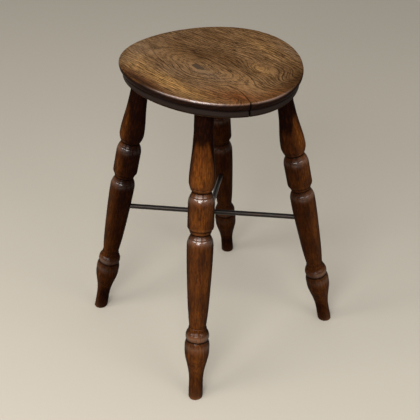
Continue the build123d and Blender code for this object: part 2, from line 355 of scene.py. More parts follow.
def seat_blank(sizes):
    """The cupped, moulded plank before its split and its recess are cut."""
    thickness = sizes.thickness / MM
    middle = np.zeros(1)
    rings = [(middle, middle, middle + SEAT_HEIGHT - MIDDLE_WEAR)]
    along, across, _ = seat_rim(sizes, NOSING_ROUND)
    for share in np.linspace(0, 1, TOP_RINGS + 1)[1:-1]:
        ring = along * share, across * share
        lift = cup_lift(ring[1], sizes) - hand_wear(*ring) * (1 - share**SITTING_FADE)
        rings.append((*ring, SEAT_HEIGHT + lift))
    for inset, drop in moulding_section(thickness):
        *ring, rim_lift = seat_rim(sizes, inset + knock_depth(drop))
        top_lift = cup_lift(ring[1], sizes)
        lift = top_lift + (rim_lift - top_lift) * min(drop / NOSING_WIDEST, 1)
        rings.append((*ring, SEAT_HEIGHT + lift - drop))
    along, across, _ = seat_rim(sizes, BEAD_INSET + BEAD_EASE)
    for share in np.linspace(1, 0, UNDER_RINGS + 1)[:-1]:
        ring = along * share * UNDER_INSET, across * share * UNDER_INSET
        rings.append((*ring, SEAT_HEIGHT + cup_lift(ring[1], sizes) - thickness))
    rings.append((middle, middle, middle + SEAT_HEIGHT - thickness))
    places = np.concatenate([to_room(*ring, sizes) for ring in rings])
    mesh = bpy.data.meshes.new("seat")
    mesh.from_pydata(places.tolist(), [], grid_of_rings(len(rings) - 2, SEAT_COLUMNS))
    return mesh


def prism(outline, low, high, sizes):
    """Closed upright prism on an outline given on the plank, between two heights."""
    along, across = np.array(outline, float).T
    count = len(outline)
    ends = [to_room(along, across, np.full(count, float(height)), sizes) for height in (low, high)]
    sides = [(i, (i + 1) % count, count + (i + 1) % count, count + i) for i in range(count)]
    faces = [tuple(reversed(range(count))), tuple(range(count, 2 * count)), *sides]
    mesh = bpy.data.meshes.new("prism")
    mesh.from_pydata(np.concatenate(ends).tolist(), [], faces)
    face_outwards(mesh)
    return mesh


def split_outline(sizes):
    """Long thin wedge along the split, with torn, slightly uneven sides."""
    dice = np.random.default_rng(SEEDS["split"])
    route = np.array(SPLIT_ROUTE, float)
    reach = np.concatenate([[0], np.cumsum(np.hypot(*np.diff(route, axis=0).T))])
    steps = np.linspace(0, reach[-1], SPLIT_STEPS)
    along = np.interp(steps, reach, route[:, 0])
    across = np.interp(steps, reach, route[:, 1])
    across += dice.normal(0, SPLIT_WAVER, SPLIT_STEPS) * (steps > 0)
    opening = SPLIT_TIP + (1 - SPLIT_TIP) * (steps / reach[-1]) ** SPLIT_FLARE
    half = sizes.split_width / MM / 2 * opening
    left = across + half * dice.uniform(*SPLIT_TEAR, SPLIT_STEPS)
    right = across - half * dice.uniform(*SPLIT_TEAR, SPLIT_STEPS)
    tip = (along[0] - SPLIT_POINT, across[0])
    return [tip, *zip(along, right), *reversed(list(zip(along, left)))]


def cut(mesh, cutter):
    """Mesh with the cutter's space taken out of it."""
    body = new_object("body", mesh)
    tool = new_object("tool", cutter)
    step = body.modifiers.new("cut", "BOOLEAN")
    step.operation = "DIFFERENCE"
    step.solver = "EXACT"
    step.object = tool
    result = baked(body)
    for obj in (body, tool):
        bpy.data.objects.remove(obj)
    return result


def distance_to_route(along, across, route):
    """Distance from places on the plank to a route of straight runs."""
    nearest = np.full(len(along), np.inf)
    for (a0, c0), (a1, c1) in zip(route[:-1], route[1:]):
        run = (a1 - a0) ** 2 + (c1 - c0) ** 2
        share = np.clip(((along - a0) * (a1 - a0) + (across - c0) * (c1 - c0)) / run, 0, 1)
        apart = np.hypot(along - a0 - share * (a1 - a0), across - c0 - share * (c1 - c0))
        nearest = np.minimum(nearest, apart)
    return nearest


# The figure of the plank. It was sawn flat, a little outside the heart of the tree, so the rings
# run along the grain at its sides and close into a long eye where it comes nearest to the heart.
RING_SPACING = 5.0
HEART_ACROSS = -20.0
HEART_DRIFT = 0.10           # how far the heart moves across for each millimetre along
HEART_DEPTH = 60.0
HEART_DIP = 18.0             # how much deeper the heart lies away from the eye
EYE_PLACE = 5.0
EYE_REACH = 85.0
# slow waves in the rings, as (strength in rings, millimetres to a radian along and across, shift)
RING_WAVES = ((0.35, 37, 29, 0), (0.25, 17, -23, 1.3))
RING_PACES = (0.04, 0.5)     # fewest and most rings in a millimetre that are drawn
EDGE_DEPTHS = (0.5, 3.0)     # depths between which the plank's top gives way to its edge
KNOTS = (
    (76, 48, 34, 18, 4.6),
    (138, 58, 27, 36, 4.2),
    (-60, 70, 90, 40, 1.2),
    (142, -59, 11, 9, 2.8),
    (-120, -95, 60, 24, -0.8),
)

# Where the finish has changed, and where light and shade are painted on, as (along, across,
# reach along, reach across, strength). The grey patches are a painted sheen, the dark patches
# and the rim patch at the right are painted shade, and the rubbed edge also places a painted
# highlight on the arris.
GOLD = (
    (20, -112, 56, 20, 1.15),
    (-78, -116, 40, 26, 0.5),
    (100, -98, 34, 20, 0.6),
    (78, 47, 20, 12, 0.45),
    (20, 118, 50, 16, 0.35),
    (-100, -92, 40, 20, 0.3),
)
RED = ((0, -152, 76, 17, 0.95), (112, -80, 40, 22, 0.45), (140, -48, 34, 24, 0.85), (168, 20, 18, 60, 0.7))
DARK_STAIN_AND_SHADE = (
    (-42, 8, 38, 20, 0.85),
    (-112, 4, 42, 40, 0.5),
    (8, 38, 60, 18, 0.6),
    (-92, 84, 50, 22, 0.4),
    # painted shade: the next three patches darken the right of the seat, away from the light
    (118, 90, 36, 26, 0.6),
    (160, 70, 22, 40, 0.95),
    (168, -10, 12, 60, 0.35),
    (0, -158, 70, 9, 0.6),
    (-5, 134, 40, 10, 0.3),
    (77, 38, 5, 3, 0.8),
    (84, 41, 4, 2.5, 0.6),
)
# painted sheen: grey patches that stand in for the wax's reflection
PAINTED_SHEEN = (
    (33, -30, 40, 16, 0.6),
    (-100, -120, 30, 30, 0.4),
    (-140, -70, 40, 44, 0.5),
    (-155, 10, 30, 50, 0.25),
    (70, 140, 50, 16, 0.6),
    (-20, -80, 70, 24, 0.35),
)
# rim dirt at the front left, and painted shade on the right rim
RIM_DIRT_AND_SHADE = ((2, -152, 74, 9, 0.55), (146, 84, 26, 30, 0.3))
# the rubbed arris has real gloss and also a painted highlight
RUBBED_EDGE_AND_HIGHLIGHT = ((104, -118, 54, 62, 0.95), (176, 0, 30, 36, 0.5))

# Stain round the edge; painted shade near the rim, in the quirk and in and beside the split; the bead
# painted lighter as lit, and a painted highlight on the arris. A pair is the two depths between which
# one sets in, or else the depth and the reach of a band.
RIM_SHADE = 0.28
RIM_SHADE_REACH = 11.0
STAIN_DEPTHS = (1.2, 4.0)
UNDERSIDE_SKIN = (1.0, 0.2)
BEAD_RISE = 2.5
BEAD_FADE = (4.0, 2.0)
ARRIS = (1.4, 1.8)
ARRIS_SKIN = (0.1, 0.5)
QUIRK_SHADE = (QUIRK_DEPTH - 0.5, 1.4)
SPLIT_INSIDE_SHADE_DEPTH = 0.5
SPLIT_INSIDE_SHADE_REACH = 1.7
SPLIT_SHADE = 0.75
SPLIT_SHADE_REACH = 0.9


def ring_number(along, across, depth):
    """Number of the growth ring at places in the plank."""
    heart = HEART_ACROSS + HEART_DRIFT * along
    below = HEART_DEPTH + HEART_DIP * (1 - hill(along, EYE_PLACE, EYE_REACH)) - depth
    wander = sum(most * np.sin(along / a + across / c + shift) for most, a, c, shift in RING_WAVES)
    return np.hypot(across - heart, below) / RING_SPACING + hills(along, across, KNOTS) + wander


def growth_rings(along, across, depth):
    """Ring numbers at places in the plank, and how many rings pass in a millimetre there."""
    ring = ring_number(along, across, depth)
    run = ring_number(along + 1, across, depth) - ring
    rise = ring_number(along, across + 1, depth) - ring
    fall = (ring_number(along, across, depth + 1) - ring) * smooth_step(depth, *EDGE_DEPTHS)
    return ring, np.sqrt(run**2 + rise**2 + fall**2)


def mark_seat(mesh, sizes):
    """Stores on its vertices the plank's growth rings, the state of its finish and where light and shade are
    painted on.
    """
    along, across, height = to_plank(positions(mesh), sizes)
    depth = np.clip(SEAT_HEIGHT + cup_lift(across, sizes) - height, 0, None)
    thickness = sizes.thickness / MM
    long_half = sizes.length / 2 / MM
    short_half = sizes.width / 2 / MM
    rim = (1 - np.hypot(along / long_half, across / short_half)) * (long_half + short_half) / 2
    split = distance_to_route(along, across, SPLIT_ROUTE)
    under = smooth_step(depth, thickness - UNDERSIDE_SKIN[0], thickness - UNDERSIDE_SKIN[1])
    stain = smooth_step(depth, *STAIN_DEPTHS) + hills(along, across, RIM_DIRT_AND_SHADE)
    # painted light: the bead is lighter where its ledge catches the light
    bead = smooth_step(depth, BEAD_DEPTH - BEAD_RISE, BEAD_DEPTH)
    bead *= 1 - smooth_step(depth, thickness - BEAD_FADE[0], thickness - BEAD_FADE[1])
    # painted shade in the quirk and inside the split
    quirk = hill(depth, *QUIRK_SHADE) * (1 - under)
    inside = hill(split, 0, SPLIT_INSIDE_SHADE_REACH) * (depth > SPLIT_INSIDE_SHADE_DEPTH)
    rubbed = np.clip(hills(along, across, RUBBED_EDGE_AND_HIGHLIGHT), 0, 1)
    for name, values in (
        ("gold", hills(along, across, GOLD)),
        ("red", hills(along, across, RED)),
        ("dark", hills(along, across, DARK_STAIN_AND_SHADE) + RIM_SHADE * hill(rim, 0, RIM_SHADE_REACH)),
        ("painted_sheen", hills(along, across, PAINTED_SHEEN)),
        ("edge", np.clip(stain, 0, 1) * (1 - under)),
        ("under", under),
        ("bead", bead),
        # the arris's real gloss, and a painted highlight in its colour
        ("arris", hill(depth, *ARRIS) * smooth_step(depth, *ARRIS_SKIN) * rubbed),
        ("painted_shade", inside + quirk + SPLIT_SHADE * hill(split, 0, SPLIT_SHADE_REACH)),
    ):
        store(mesh, name, np.clip(values, 0, 1))
    ring, pace = growth_rings(along, across, depth)
    store(mesh, "ring", ring)
    store(mesh, "pace", np.clip(pace, *RING_PACES))


# ---- the legs' shape ----------------------------------------------------------------------
class LegSettings(PropertyGroup):
    toe_radius: length_setting("Toe", "Radius of the foot", 0.0139)
    ankle_radius: length_setting("Ankle", "Radius at the ankle", 0.0136)
    bulb_radius: length_setting("Bulb", "Radius of the bulb", 0.0239)
    ring_radius: length_setting("Ring", "Radius of the ring above the bulb", 0.0228)
    shin_radius: length_setting("Shin", "Thinnest radius of the long taper", 0.0164)
    thigh_radius: length_setting("Thigh", "Thickest radius of the long taper", 0.0247)
    barrel_radius: length_setting("Barrel", "Radius of the barrel", 0.0245)
    vase_radius: length_setting("Vase", "Widest radius of the vase", 0.0241)
    neck_change: length_setting("Neck", "Added to the radius where each leg meets the seat", 0.0)
    softening: length_setting("Softening", "How far varnish and wear have rounded the turned edges", 0.00028)
    out_of_round: FloatProperty(
        name="Out of round", description="Shrinkage across the rings of the wood", default=0.012, min=0
    )
    dent_depth: length_setting("Dent depth", "Depth of the knocks in the legs", 0.0005)
    steps_round: IntProperty(name="Steps round", description="Faces round each leg", default=96, min=12)


# foot, socket mouth and radius at the neck of each leg, in millimetres, and how strong the
# painted shade on its inner side is
LEGS = {
    "leg_front": ((-1.6, -244.0, 0.0), (3.5, -117.2), 17.5, 1.0),
    "leg_right": ((245.1, 17.7, 0.0), (129.6, -5.1), 15.6, 0.7),
    "leg_back": ((11.3, 243.8, 0.0), (-7.4, 129.5), 17.0, 0.8),
    "leg_left": ((-245.4, 4.0, 0.0), (-127.3, 14.9), 17.0, 0.95),
}

TOE_HEIGHT = 12.0
TOE_WEAR = 2.1
TOE_STEPS = 6
ANKLE_RISE = 22.0
BULB_RISE = 68.0
BULB_HOLLOW = 0.40
BULB_STEEPNESS = 1.47        # slope half-way up to the bulb, against a straight run
BULB_NECK_RADIUS = 20.6
BULB_NECK_RISE = 23.3
BULB_NECK_LEAN = -0.6
RING_WIDTH = 15.1
RING_TOP_RADIUS = 21.2
COLLAR_RADIUS = 21.0
COLLAR_LEAN = -0.9
COLLAR_WIDTH = 9.7
COLLAR_LIP = 1.0
SHIN_RISE = 5.2
SHIN_LEAN = 0.13
TAPER_LENGTH = 157.5
TAPER_BELLY = 0.69
THIGH_WIDTH = 3.8
BARREL_LIP_RADII = (19.5, 21.0)
BARREL_FOOT_HEIGHT = 13.4
BARREL_LEAN = 1.2
BARREL_WIDTH = 42.0
VASE_LIP_RADII = (19.0, 21.6)
VASE_RISE = 16.9
VASE_LEAN = 0.4
NECK_HOLLOW = 0.28
NECK_HOLLOW_PLACE = 0.44
NECK_STEEPNESS = 1.7         # slope at the hollow, against a straight run
NECK_STEPS = 20
SHOULDER_WIDTH = 14.2
SHOULDER_RADIUS = 21.6
SHOULDER_LEAN = -0.5
BAND_FOOT_RADIUS = 21.0
BAND_WIDTH = 7.1
BAND_TOP_RADIUS = 17.9
BAND_HOLLOW = -0.25
GROOVE_SIDE = 0.6
GROOVE_RADIUS = 17.0
GROOVE_RISE = 1.6
LIP_WIDTH = 5.2
LIP_ROUND = 0.3
CUT_SIDE = 0.6
CUT_DEPTH = 0.7
TENON_RADIUS = 12.5
TENON_LENGTH = 21.0
TENON_CHAMFER = 0.8

OUTLINE_STEP = 0.12          # spacing of the outline while its edges are softened
OUTLINE_ERROR = 0.02         # how far the kept outline may leave the softened one
RELIEF_REACH = 3.0           # width of the surroundings that a groove is measured against
OUTLINE_GAP = 7.0            # longest step between kept places
SOLE_BLEND = 22.0            # height over which the rings turn from the floor to the leg's axis
NECK_BLEND = (30.0, 1.0)     # depths below the seat between which the neck comes to follow it
TENON_FREE = (2.0, 6.0)      # heights on the tenon between which it stays where it was turned
FIT_ROUNDS = 3

SEAM_DISTANCE = 0.02         # places closer than this are joined where a turning closes
DENT_RISE = (0.62, 0.75)     # values of the noise between which a dent sinks in
DENT_SPACING = 24.0
DENT_SEED_STEP = 3.7         # keeps the dents of one leg unlike those of the next


def eased(start, end, lean_start, lean_end, steps=14):
    """Curve between two places of a turning, with the lean of its sides given at both ends."""
    rise = end[1] - start[1]
    places = []
    for share in np.linspace(0, 1, steps)[1:]:
        square, cube = share**2, share**3
        radius = start[0] * (2 * cube - 3 * square + 1) + end[0] * (3 * square - 2 * cube)
        radius += rise * (lean_start * (cube - 2 * square + share) + lean_end * (cube - square))
        places.append((radius, start[1] + rise * share))
    return places


def bowed(start, end, bow, steps=12):
    """Round bead between two places that stands out by a bow at its middle."""
    places = []
    for share in np.linspace(0, 1, steps)[1:]:
        chord = start[0] + (end[0] - start[0]) * share
        places.append((chord + bow * 4 * share * (1 - share), start[1] + (end[1] - start[1]) * share))
    return places


def small_cut(height, lower_radius, upper_radius):
    """Places of a small V cut that starts at a height, without its start."""
    bottom = min(lower_radius, upper_radius) - CUT_DEPTH
    return [(bottom, height + CUT_SIDE), (upper_radius, height + 2 * CUT_SIDE)]


def turned_shoulder(radius, height):
    """Shoulder, sloping band and V groove above a full radius, and the groove's height."""
    edge = (SHOULDER_RADIUS, height + SHOULDER_WIDTH)
    places = eased((radius, height), edge, 0, SHOULDER_LEAN)
    places += small_cut(edge[1], SHOULDER_RADIUS, BAND_FOOT_RADIUS)
    band_top = (BAND_TOP_RADIUS, places[-1][1] + BAND_WIDTH)
    places += bowed(places[-1], band_top, BAND_HOLLOW)
    groove = band_top[1] + GROOVE_SIDE
    return [*places, (GROOVE_RADIUS, groove)], groove


def turned_lip(groove, radii, full_radius, full, lean):
    """Narrow lip above a groove, and the swell from it up to a full radius."""
    foot = (radii[0], groove + GROOVE_RISE)
    top = (radii[1], foot[1] + LIP_WIDTH)
    swell_radius = radii[1] + CUT_DEPTH / 2
    places = [foot, *bowed(foot, top, LIP_ROUND), *small_cut(top[1], radii[1], swell_radius)]
    return [*places, *eased(places[-1], (full_radius, full), lean, 0)]


def leg_outline(legs, length, neck_radius):
    """Turned outline from the middle of the sole to the top of the neck, as (radius, height)."""
    toe = legs.toe_radius / MM
    ankle_radius = legs.ankle_radius / MM
    bulb_radius = legs.bulb_radius / MM
    shin_radius = legs.shin_radius / MM
    thigh_radius = legs.thigh_radius / MM
    barrel_radius = legs.barrel_radius / MM
    vase_radius = legs.vase_radius / MM
    ankle = TOE_HEIGHT + ANKLE_RISE
    bulb = ankle + BULB_RISE
    bulb_neck = bulb + BULB_NECK_RISE
    ring_top = bulb_neck + RING_WIDTH
    collar_foot = ring_top + 2 * CUT_SIDE
    collar_top = collar_foot + COLLAR_WIDTH
    shin = collar_top + SHIN_RISE
    thigh = shin + TAPER_LENGTH
    ring_bow = legs.ring_radius / MM - (BULB_NECK_RADIUS + RING_TOP_RADIUS) / 2
    hollow = (ankle_radius + (bulb_radius - ankle_radius) * BULB_HOLLOW, ankle + BULB_RISE / 2)
    belly = (shin_radius + (thigh_radius - shin_radius) * TAPER_BELLY, shin + TAPER_LENGTH / 2)
    bulb_lean = BULB_STEEPNESS * (bulb_radius - ankle_radius) / BULB_RISE
    taper_lean = (6 * (thigh_radius - shin_radius) / TAPER_LENGTH - SHIN_LEAN) / 4
    places = [(0, 0), (toe - TOE_WEAR, 0)]
    for angle in np.linspace(0, math.pi / 2, TOE_STEPS)[1:]:
        places.append((toe - TOE_WEAR * (1 - math.sin(angle)), TOE_WEAR * (1 - math.cos(angle))))
    places.append((toe, TOE_HEIGHT))
    places += eased((toe, TOE_HEIGHT), (ankle_radius, ankle), 0, 0)
    places += eased((ankle_radius, ankle), hollow, 0, bulb_lean)
    places += eased(hollow, (bulb_radius, bulb), bulb_lean, 0)
    places += eased((bulb_radius, bulb), (BULB_NECK_RADIUS, bulb_neck), 0, BULB_NECK_LEAN)
    places += bowed((BULB_NECK_RADIUS, bulb_neck), (RING_TOP_RADIUS, ring_top), ring_bow)
    places += small_cut(ring_top, RING_TOP_RADIUS, COLLAR_RADIUS)
    collar_edge = (shin_radius + COLLAR_LIP, collar_top)
    places += eased((COLLAR_RADIUS, collar_foot), collar_edge, COLLAR_LEAN, 0)
    places += [(shin_radius, collar_top + COLLAR_LIP), (shin_radius, shin)]
    places += eased((shin_radius, shin), belly, SHIN_LEAN, taper_lean)
    places += eased(belly, (thigh_radius, thigh), taper_lean, 0)
    places.append((thigh_radius, thigh + THIGH_WIDTH))
    shoulder, groove = turned_shoulder(thigh_radius, thigh + THIGH_WIDTH)
    barrel = groove + GROOVE_RISE + BARREL_FOOT_HEIGHT
    places += shoulder
    places += turned_lip(groove, BARREL_LIP_RADII, barrel_radius, barrel, BARREL_LEAN)
    places.append((barrel_radius, barrel + BARREL_WIDTH))
    shoulder, groove = turned_shoulder(barrel_radius, barrel + BARREL_WIDTH)
    vase = groove + GROOVE_RISE + VASE_RISE
    places += shoulder
    places += turned_lip(groove, VASE_LIP_RADII, vase_radius, vase, VASE_LEAN)
    throat_radius = neck_radius + (vase_radius - neck_radius) * NECK_HOLLOW
    throat = (throat_radius, vase + (length - vase) * NECK_HOLLOW_PLACE)
    neck_lean = NECK_STEEPNESS * (neck_radius - vase_radius) / (length - vase)
    places += eased((vase_radius, vase), throat, 0, neck_lean, NECK_STEPS)
    places += eased(throat, (neck_radius, length), neck_lean, 0, NECK_STEPS)
    return places


def soften(places, reach):
    """Outline with its edges rounded, and how far it stands out of (or sinks into) its surroundings."""
    radius, height = np.array(places, float).T
    climb = np.concatenate([[0], np.cumsum(np.hypot(np.diff(radius), np.diff(height)))])
    steps = np.arange(0, climb[-1], OUTLINE_STEP)
    fine = np.stack([np.interp(steps, climb, radius), np.interp(steps, climb, height)])

    def blurred(values, width):
        half = int(3 * width / OUTLINE_STEP) + 1
        weights = np.exp(-((np.arange(-half, half + 1) * OUTLINE_STEP / width) ** 2) / 2)
        padded = np.pad(values, half, mode="edge")
        return np.convolve(padded, weights / weights.sum(), mode="valid")

    soft = np.stack([blurred(fine[0], reach), blurred(fine[1], reach)])
    relief = soft[0] - blurred(soft[0], RELIEF_REACH)
    sole = steps < climb[2] + TOE_WEAR
    soft[:, sole] = fine[:, sole]
    kept = [0]
    for place in range(1, len(steps) - 1):
        start = soft[:, kept[-1]]
        way = soft[:, place + 1] - start
        run = math.hypot(*way)
        between = soft[:, kept[-1] + 1 : place + 1] - start[:, None]
        error = np.abs(between[0] * way[1] - between[1] * way[0]).max() / run
        if error > OUTLINE_ERROR or run > OUTLINE_GAP:
            kept.append(place)
    kept.append(len(steps) - 1)
    return soft[:, kept].T, relief[kept]


def outline_mesh(outline, relief, length):
    """Softened outline with the tenon above it, as a line that also keeps its relief."""
    shoulder = length + TENON_LENGTH - TENON_CHAMFER
    end = length + TENON_LENGTH
    tenon = [(TENON_RADIUS, length), (TENON_RADIUS, shoulder), (TENON_RADIUS - TENON_CHAMFER, end), (0, end)]
    places = [(radius * MM, 0.0, height * MM) for radius, height in (*outline, *tenon)]
    line = bpy.data.meshes.new("outline")
    line.from_pydata(places, [(i, i + 1) for i in range(len(places) - 1)], [])
    store(line, "relief", np.concatenate([relief, np.zeros(len(tenon))]))
    return line


def lathe_tree():
    """Geometry Nodes that turn an outline round an axis, dent it and stand it from foot to head."""
    tree = bpy.data.node_groups.new("turned_leg", "GeometryNodeTree")
    node = partial(add, tree)
    for name, kind in (
        ("Outline", "Object"),
        ("Foot", "Vector"),
        ("Head", "Vector"),
        ("Steps round", "Int"),
        ("Out of round", "Float"),
        ("Dent depth", "Float"),
        ("Dent spacing", "Float"),
        ("Seed", "Float"),
        ("Material", "Material"),
    ):
        tree.interface.new_socket(name, in_out="INPUT", socket_type=f"NodeSocket{kind}")
    tree.interface.new_socket("Leg", in_out="OUTPUT", socket_type="NodeSocketGeometry")
    given = node("NodeGroupInput").outputs
    # a sheet with a row for each place of the outline and a column for each step round
    outline = node("GeometryNodeObjectInfo", {"Object": given["Outline"]}).outputs["Geometry"]
    size = node("GeometryNodeAttributeDomainSize", {"Geometry": outline}, component="MESH")
    rows = size.outputs["Point Count"]
    columns = node(MATH, {0: given["Steps round"], 1: 1.0}, operation="ADD")
    sides = {"Size X": 1.0, "Size Y": 1.0, "Vertices X": rows, "Vertices Y": columns}
    sheet = node("GeometryNodeMeshGrid", sides)
    index = node("GeometryNodeInputIndex")
    row_share = node(MATH, {0: index, 1: columns}, operation="DIVIDE")
    row = node(MATH, {0: row_share}, operation="FLOOR")
    column = node(MATH, {0: index, 1: columns}, operation="MODULO")
    place = node("GeometryNodeInputPosition")
    kept = node("GeometryNodeInputNamedAttribute", {"Name": "relief"}, data_type="FLOAT")
    sampled = {}
    for value, kind in ((place.outputs["Position"], "FLOAT_VECTOR"), (kept.outputs["Attribute"], "FLOAT")):
        links = {"Geometry": outline, "Value": value, "Index": row}
        sampled[kind] = node("GeometryNodeSampleIndex", links, data_type=kind)
    # each row is carried round the axis, a little narrower across than along
    ring = node("ShaderNodeSeparateXYZ", {0: sampled["FLOAT_VECTOR"]})
    turn = node(MATH, {0: column, 1: given["Steps round"]}, operation="DIVIDE")
    angle = node(MATH, {0: turn, 1: 2 * math.pi}, operation="MULTIPLY")
    cosine = node(MATH, {0: angle}, operation="COSINE")
    sine = node(MATH, {0: angle}, operation="SINE")
    narrow = node(MATH, {0: 1.0, 1: given["Out of round"]}, operation="SUBTRACT")
    wide_x = node(MATH, {0: ring.outputs["X"], 1: narrow}, operation="MULTIPLY")
    x = node(MATH, {0: wide_x, 1: cosine}, operation="MULTIPLY")
    y = node(MATH, {0: ring.outputs["X"], 1: sine}, operation="MULTIPLY")
    local = node("ShaderNodeCombineXYZ", {"X": x, "Y": y, "Z": ring.outputs["Z"]})
    # dents lie where a coarse noise, shifted for each leg, rises highest
    lift = node("ShaderNodeCombineXYZ", {"Z": given["Seed"]})
    shifted = node(VECTOR, {0: place, 1: lift}, operation="ADD")
    scale = node(MATH, {0: 1.0, 1: given["Dent spacing"]}, operation="DIVIDE")
    knocks = node(NOISE, {"Vector": shifted, "Scale": scale, "Detail": 1.0})
    low = node(RANGE, {0: knocks, 1: DENT_RISE[0], 2: DENT_RISE[1], 3: 0.0, 4: -1.0})
    depth = node(MATH, {0: low, 1: given["Dent depth"]}, operation="MULTIPLY")
    out = node(VECTOR, {0: place, 1: (1.0, 1.0, 0.0)}, operation="MULTIPLY")
    unit = node(VECTOR, {0: out}, operation="NORMALIZE")
    push = node(VECTOR, {0: unit, "Scale": depth}, operation="SCALE")
    along = node(VECTOR, {0: given["Head"], 1: given["Foot"]}, operation="SUBTRACT")
    tilt = node("FunctionNodeAlignRotationToVector", {"Vector": along}, axis="Z")
    as_number = {"data_type": "FLOAT", "domain": "POINT"}
    as_place = {"data_type": "FLOAT_VECTOR", "domain": "POINT"}
    shape = sheet.outputs["Mesh"]
    for kind, links, settings in (
        ("SetPosition", {"Position": local}, {}),
        ("StoreNamedAttribute", {"Name": "relief", "Value": sampled["FLOAT"]}, as_number),
        ("MergeByDistance", {"Distance": SEAM_DISTANCE * MM}, {}),
        ("SetPosition", {"Offset": push}, {}),
        ("StoreNamedAttribute", {"Name": "turned", "Value": place}, as_place),
        ("Transform", {"Translation": given["Foot"], "Rotation": tilt}, {}),
        ("SetShadeSmooth", {}, {}),
        ("RealizeInstances", {}, {}),
        ("SetMaterial", {"Material": given["Material"]}, {}),
    ):
        shape = node(f"GeometryNode{kind}", {"Geometry": shape, **links}, **settings)
    node("NodeGroupOutput", {"Leg": shape})
    return tree


def set_inputs(modifier, values):
    """Fills a Geometry Nodes modifier's inputs, each found by its socket's identifier."""
    for socket in modifier.node_group.interface.items_tree:
        if socket.in_out == "INPUT":
            modifier[socket.identifier] = values[socket.name]


def turned_heights(mesh):
    """How high each vertex stood above the toe on the lathe's axis, in metres."""
    places = np.empty(len(mesh.vertices) * 3, np.float32)
    mesh.attributes["turned"].data.foreach_get("vector", places)
    return places.reshape(-1, 3)[:, 2]


def fit_leg(mesh, foot, head, sizes):
    """Slides the ends of a turned leg along its axis, onto the floor and the seat's underside."""
    axis = np.array((head - foot).normalized())
    length = (head - foot).length / MM
    places = positions(mesh)
    height = turned_heights(mesh) / MM
    to_floor = (height * MM * axis[2] - places[:, 2]) / axis[2]
    places += axis * (to_floor * (1 - smooth_step(height, 0, SOLE_BLEND)))[:, None]
    near_seat = smooth_step(height, length - NECK_BLEND[0], length - NECK_BLEND[1])
    near_seat *= 1 - smooth_step(height, length + TENON_FREE[0], length + TENON_FREE[1])
    for _ in range(FIT_ROUNDS):
        _, across, level = to_plank(places, sizes)
        under = SEAT_HEIGHT + cup_lift(across, sizes) - sizes.thickness / MM
        wanted = under + (height - length) * axis[2]
        places += axis * ((wanted - level) * MM / axis[2] * near_seat)[:, None]
    mesh.vertices.foreach_set("co", places.astype(np.float32).ravel())
    mesh.update()


# How the varnish has aged, and where shade and highlights are painted on. A level is (height,
# reach, strength) of a band round the leg, in millimetres above the toe. A facing runs from -1,
# away from the stool's middle, to 1, towards it.
# the worn bands also paint the shoulders and rings lighter, as highlights
WORN_AND_HIGHLIGHT_LEVELS = ((329, 6.5, 1.0), (409, 6.5, 1.0), (134, 7, 0.85), (113, 7, 0.5), (6, 9, 0.2))
WARM_LEVELS = ((450, 26, 1.0), (380, 30, 0.35))
# a leg is painted darker round the ankle
ANKLE_DARKENING = ((40, 20, 0.32),)
INNER_FACINGS = (-0.95, 0.15)
FRONT_FACINGS = (-0.9, -0.1)
FOOT_SHADE = 0.82            # darkness of the inner side near the floor, against that higher up
SHADE_HEIGHTS = (150, 330)
SEAT_SHADOW_HEIGHT = 499           # the painted shadow of the seat starts here on the front
SEAT_SHADOW_BEHIND = 30            # and this much lower behind
SEAT_SHADOW_LOBES = 5
SEAT_SHADOW_WAVE = 4
SEAT_SHADOW_BLEND = 18
SEAT_SHADOW_WEAKEST = 0.45
WORN_WEAKEST = 0.2
POLISH_POWER = 1.4
POLISH_STRENGTH = 0.8
POLISH_LOST_FRONT = 0.2
POLISH_LOST_INSIDE = 0.8
POLISH_FACINGS = (-0.2, 0.4)


def bands(height, levels):
    """Sum of the smooth bands that a leg's levels give at a height."""
    return sum(strength * hill(height, level, reach) for level, reach, strength in levels)


def mark_leg(mesh, foot, head, inner_shade_strength):
    """Stores where painted shade falls on a leg, and where its varnish is warm, worn thin with a painted
    highlight, and polished.
    """
    places = positions(mesh)
    axis = np.array((head - foot).normalized())
    height = turned_heights(mesh).astype(float)
    middle = np.array(foot) + axis * height[:, None]
    height /= MM
    out = unit_rows(places - middle)
    inwards = -middle
    inwards[:, 2] = 0
    facing = (out * unit_rows(inwards)).sum(axis=1)
    # painted shade on the inner side of each leg, stronger higher up
    inner = smooth_step(facing, *INNER_FACINGS)
    front = 1 - smooth_step(facing, *FRONT_FACINGS)
    shade = FOOT_SHADE + (1 - FOOT_SHADE) * smooth_step(height, *SHADE_HEIGHTS)
    # painted shadow that the seat casts on the top of each leg
    wave = SEAT_SHADOW_WAVE * np.sin(SEAT_SHADOW_LOBES * np.arctan2(out[:, 1], out[:, 0]))
    shadow_foot = SEAT_SHADOW_HEIGHT - SEAT_SHADOW_BEHIND * (1 - front) + wave
    painted_shade = smooth_step(height, shadow_foot, shadow_foot + SEAT_SHADOW_BLEND)
    painted_shade *= SEAT_SHADOW_WEAKEST + (1 - SEAT_SHADOW_WEAKEST) * front
    # worn bands, painted lighter as highlights, also set the polish
    worn = bands(height, WORN_AND_HIGHLIGHT_LEVELS)
    polish = worn**POLISH_POWER * (POLISH_STRENGTH - POLISH_LOST_FRONT * front)
    polish *= 1 - POLISH_LOST_INSIDE * smooth_step(facing, *POLISH_FACINGS)
    for name, values in (
        # painted shade: the inner side, the seat's shadow, and darker round the ankle
        ("leg_shade", inner * inner_shade_strength * shade + painted_shade + bands(height, ANKLE_DARKENING)),
        ("warm", bands(height, WARM_LEVELS) * front),
        ("worn", worn * (WORN_WEAKEST + (1 - WORN_WEAKEST) * front)),
        ("polish", polish),
    ):
        store(mesh, name, np.clip(values, 0, 1))


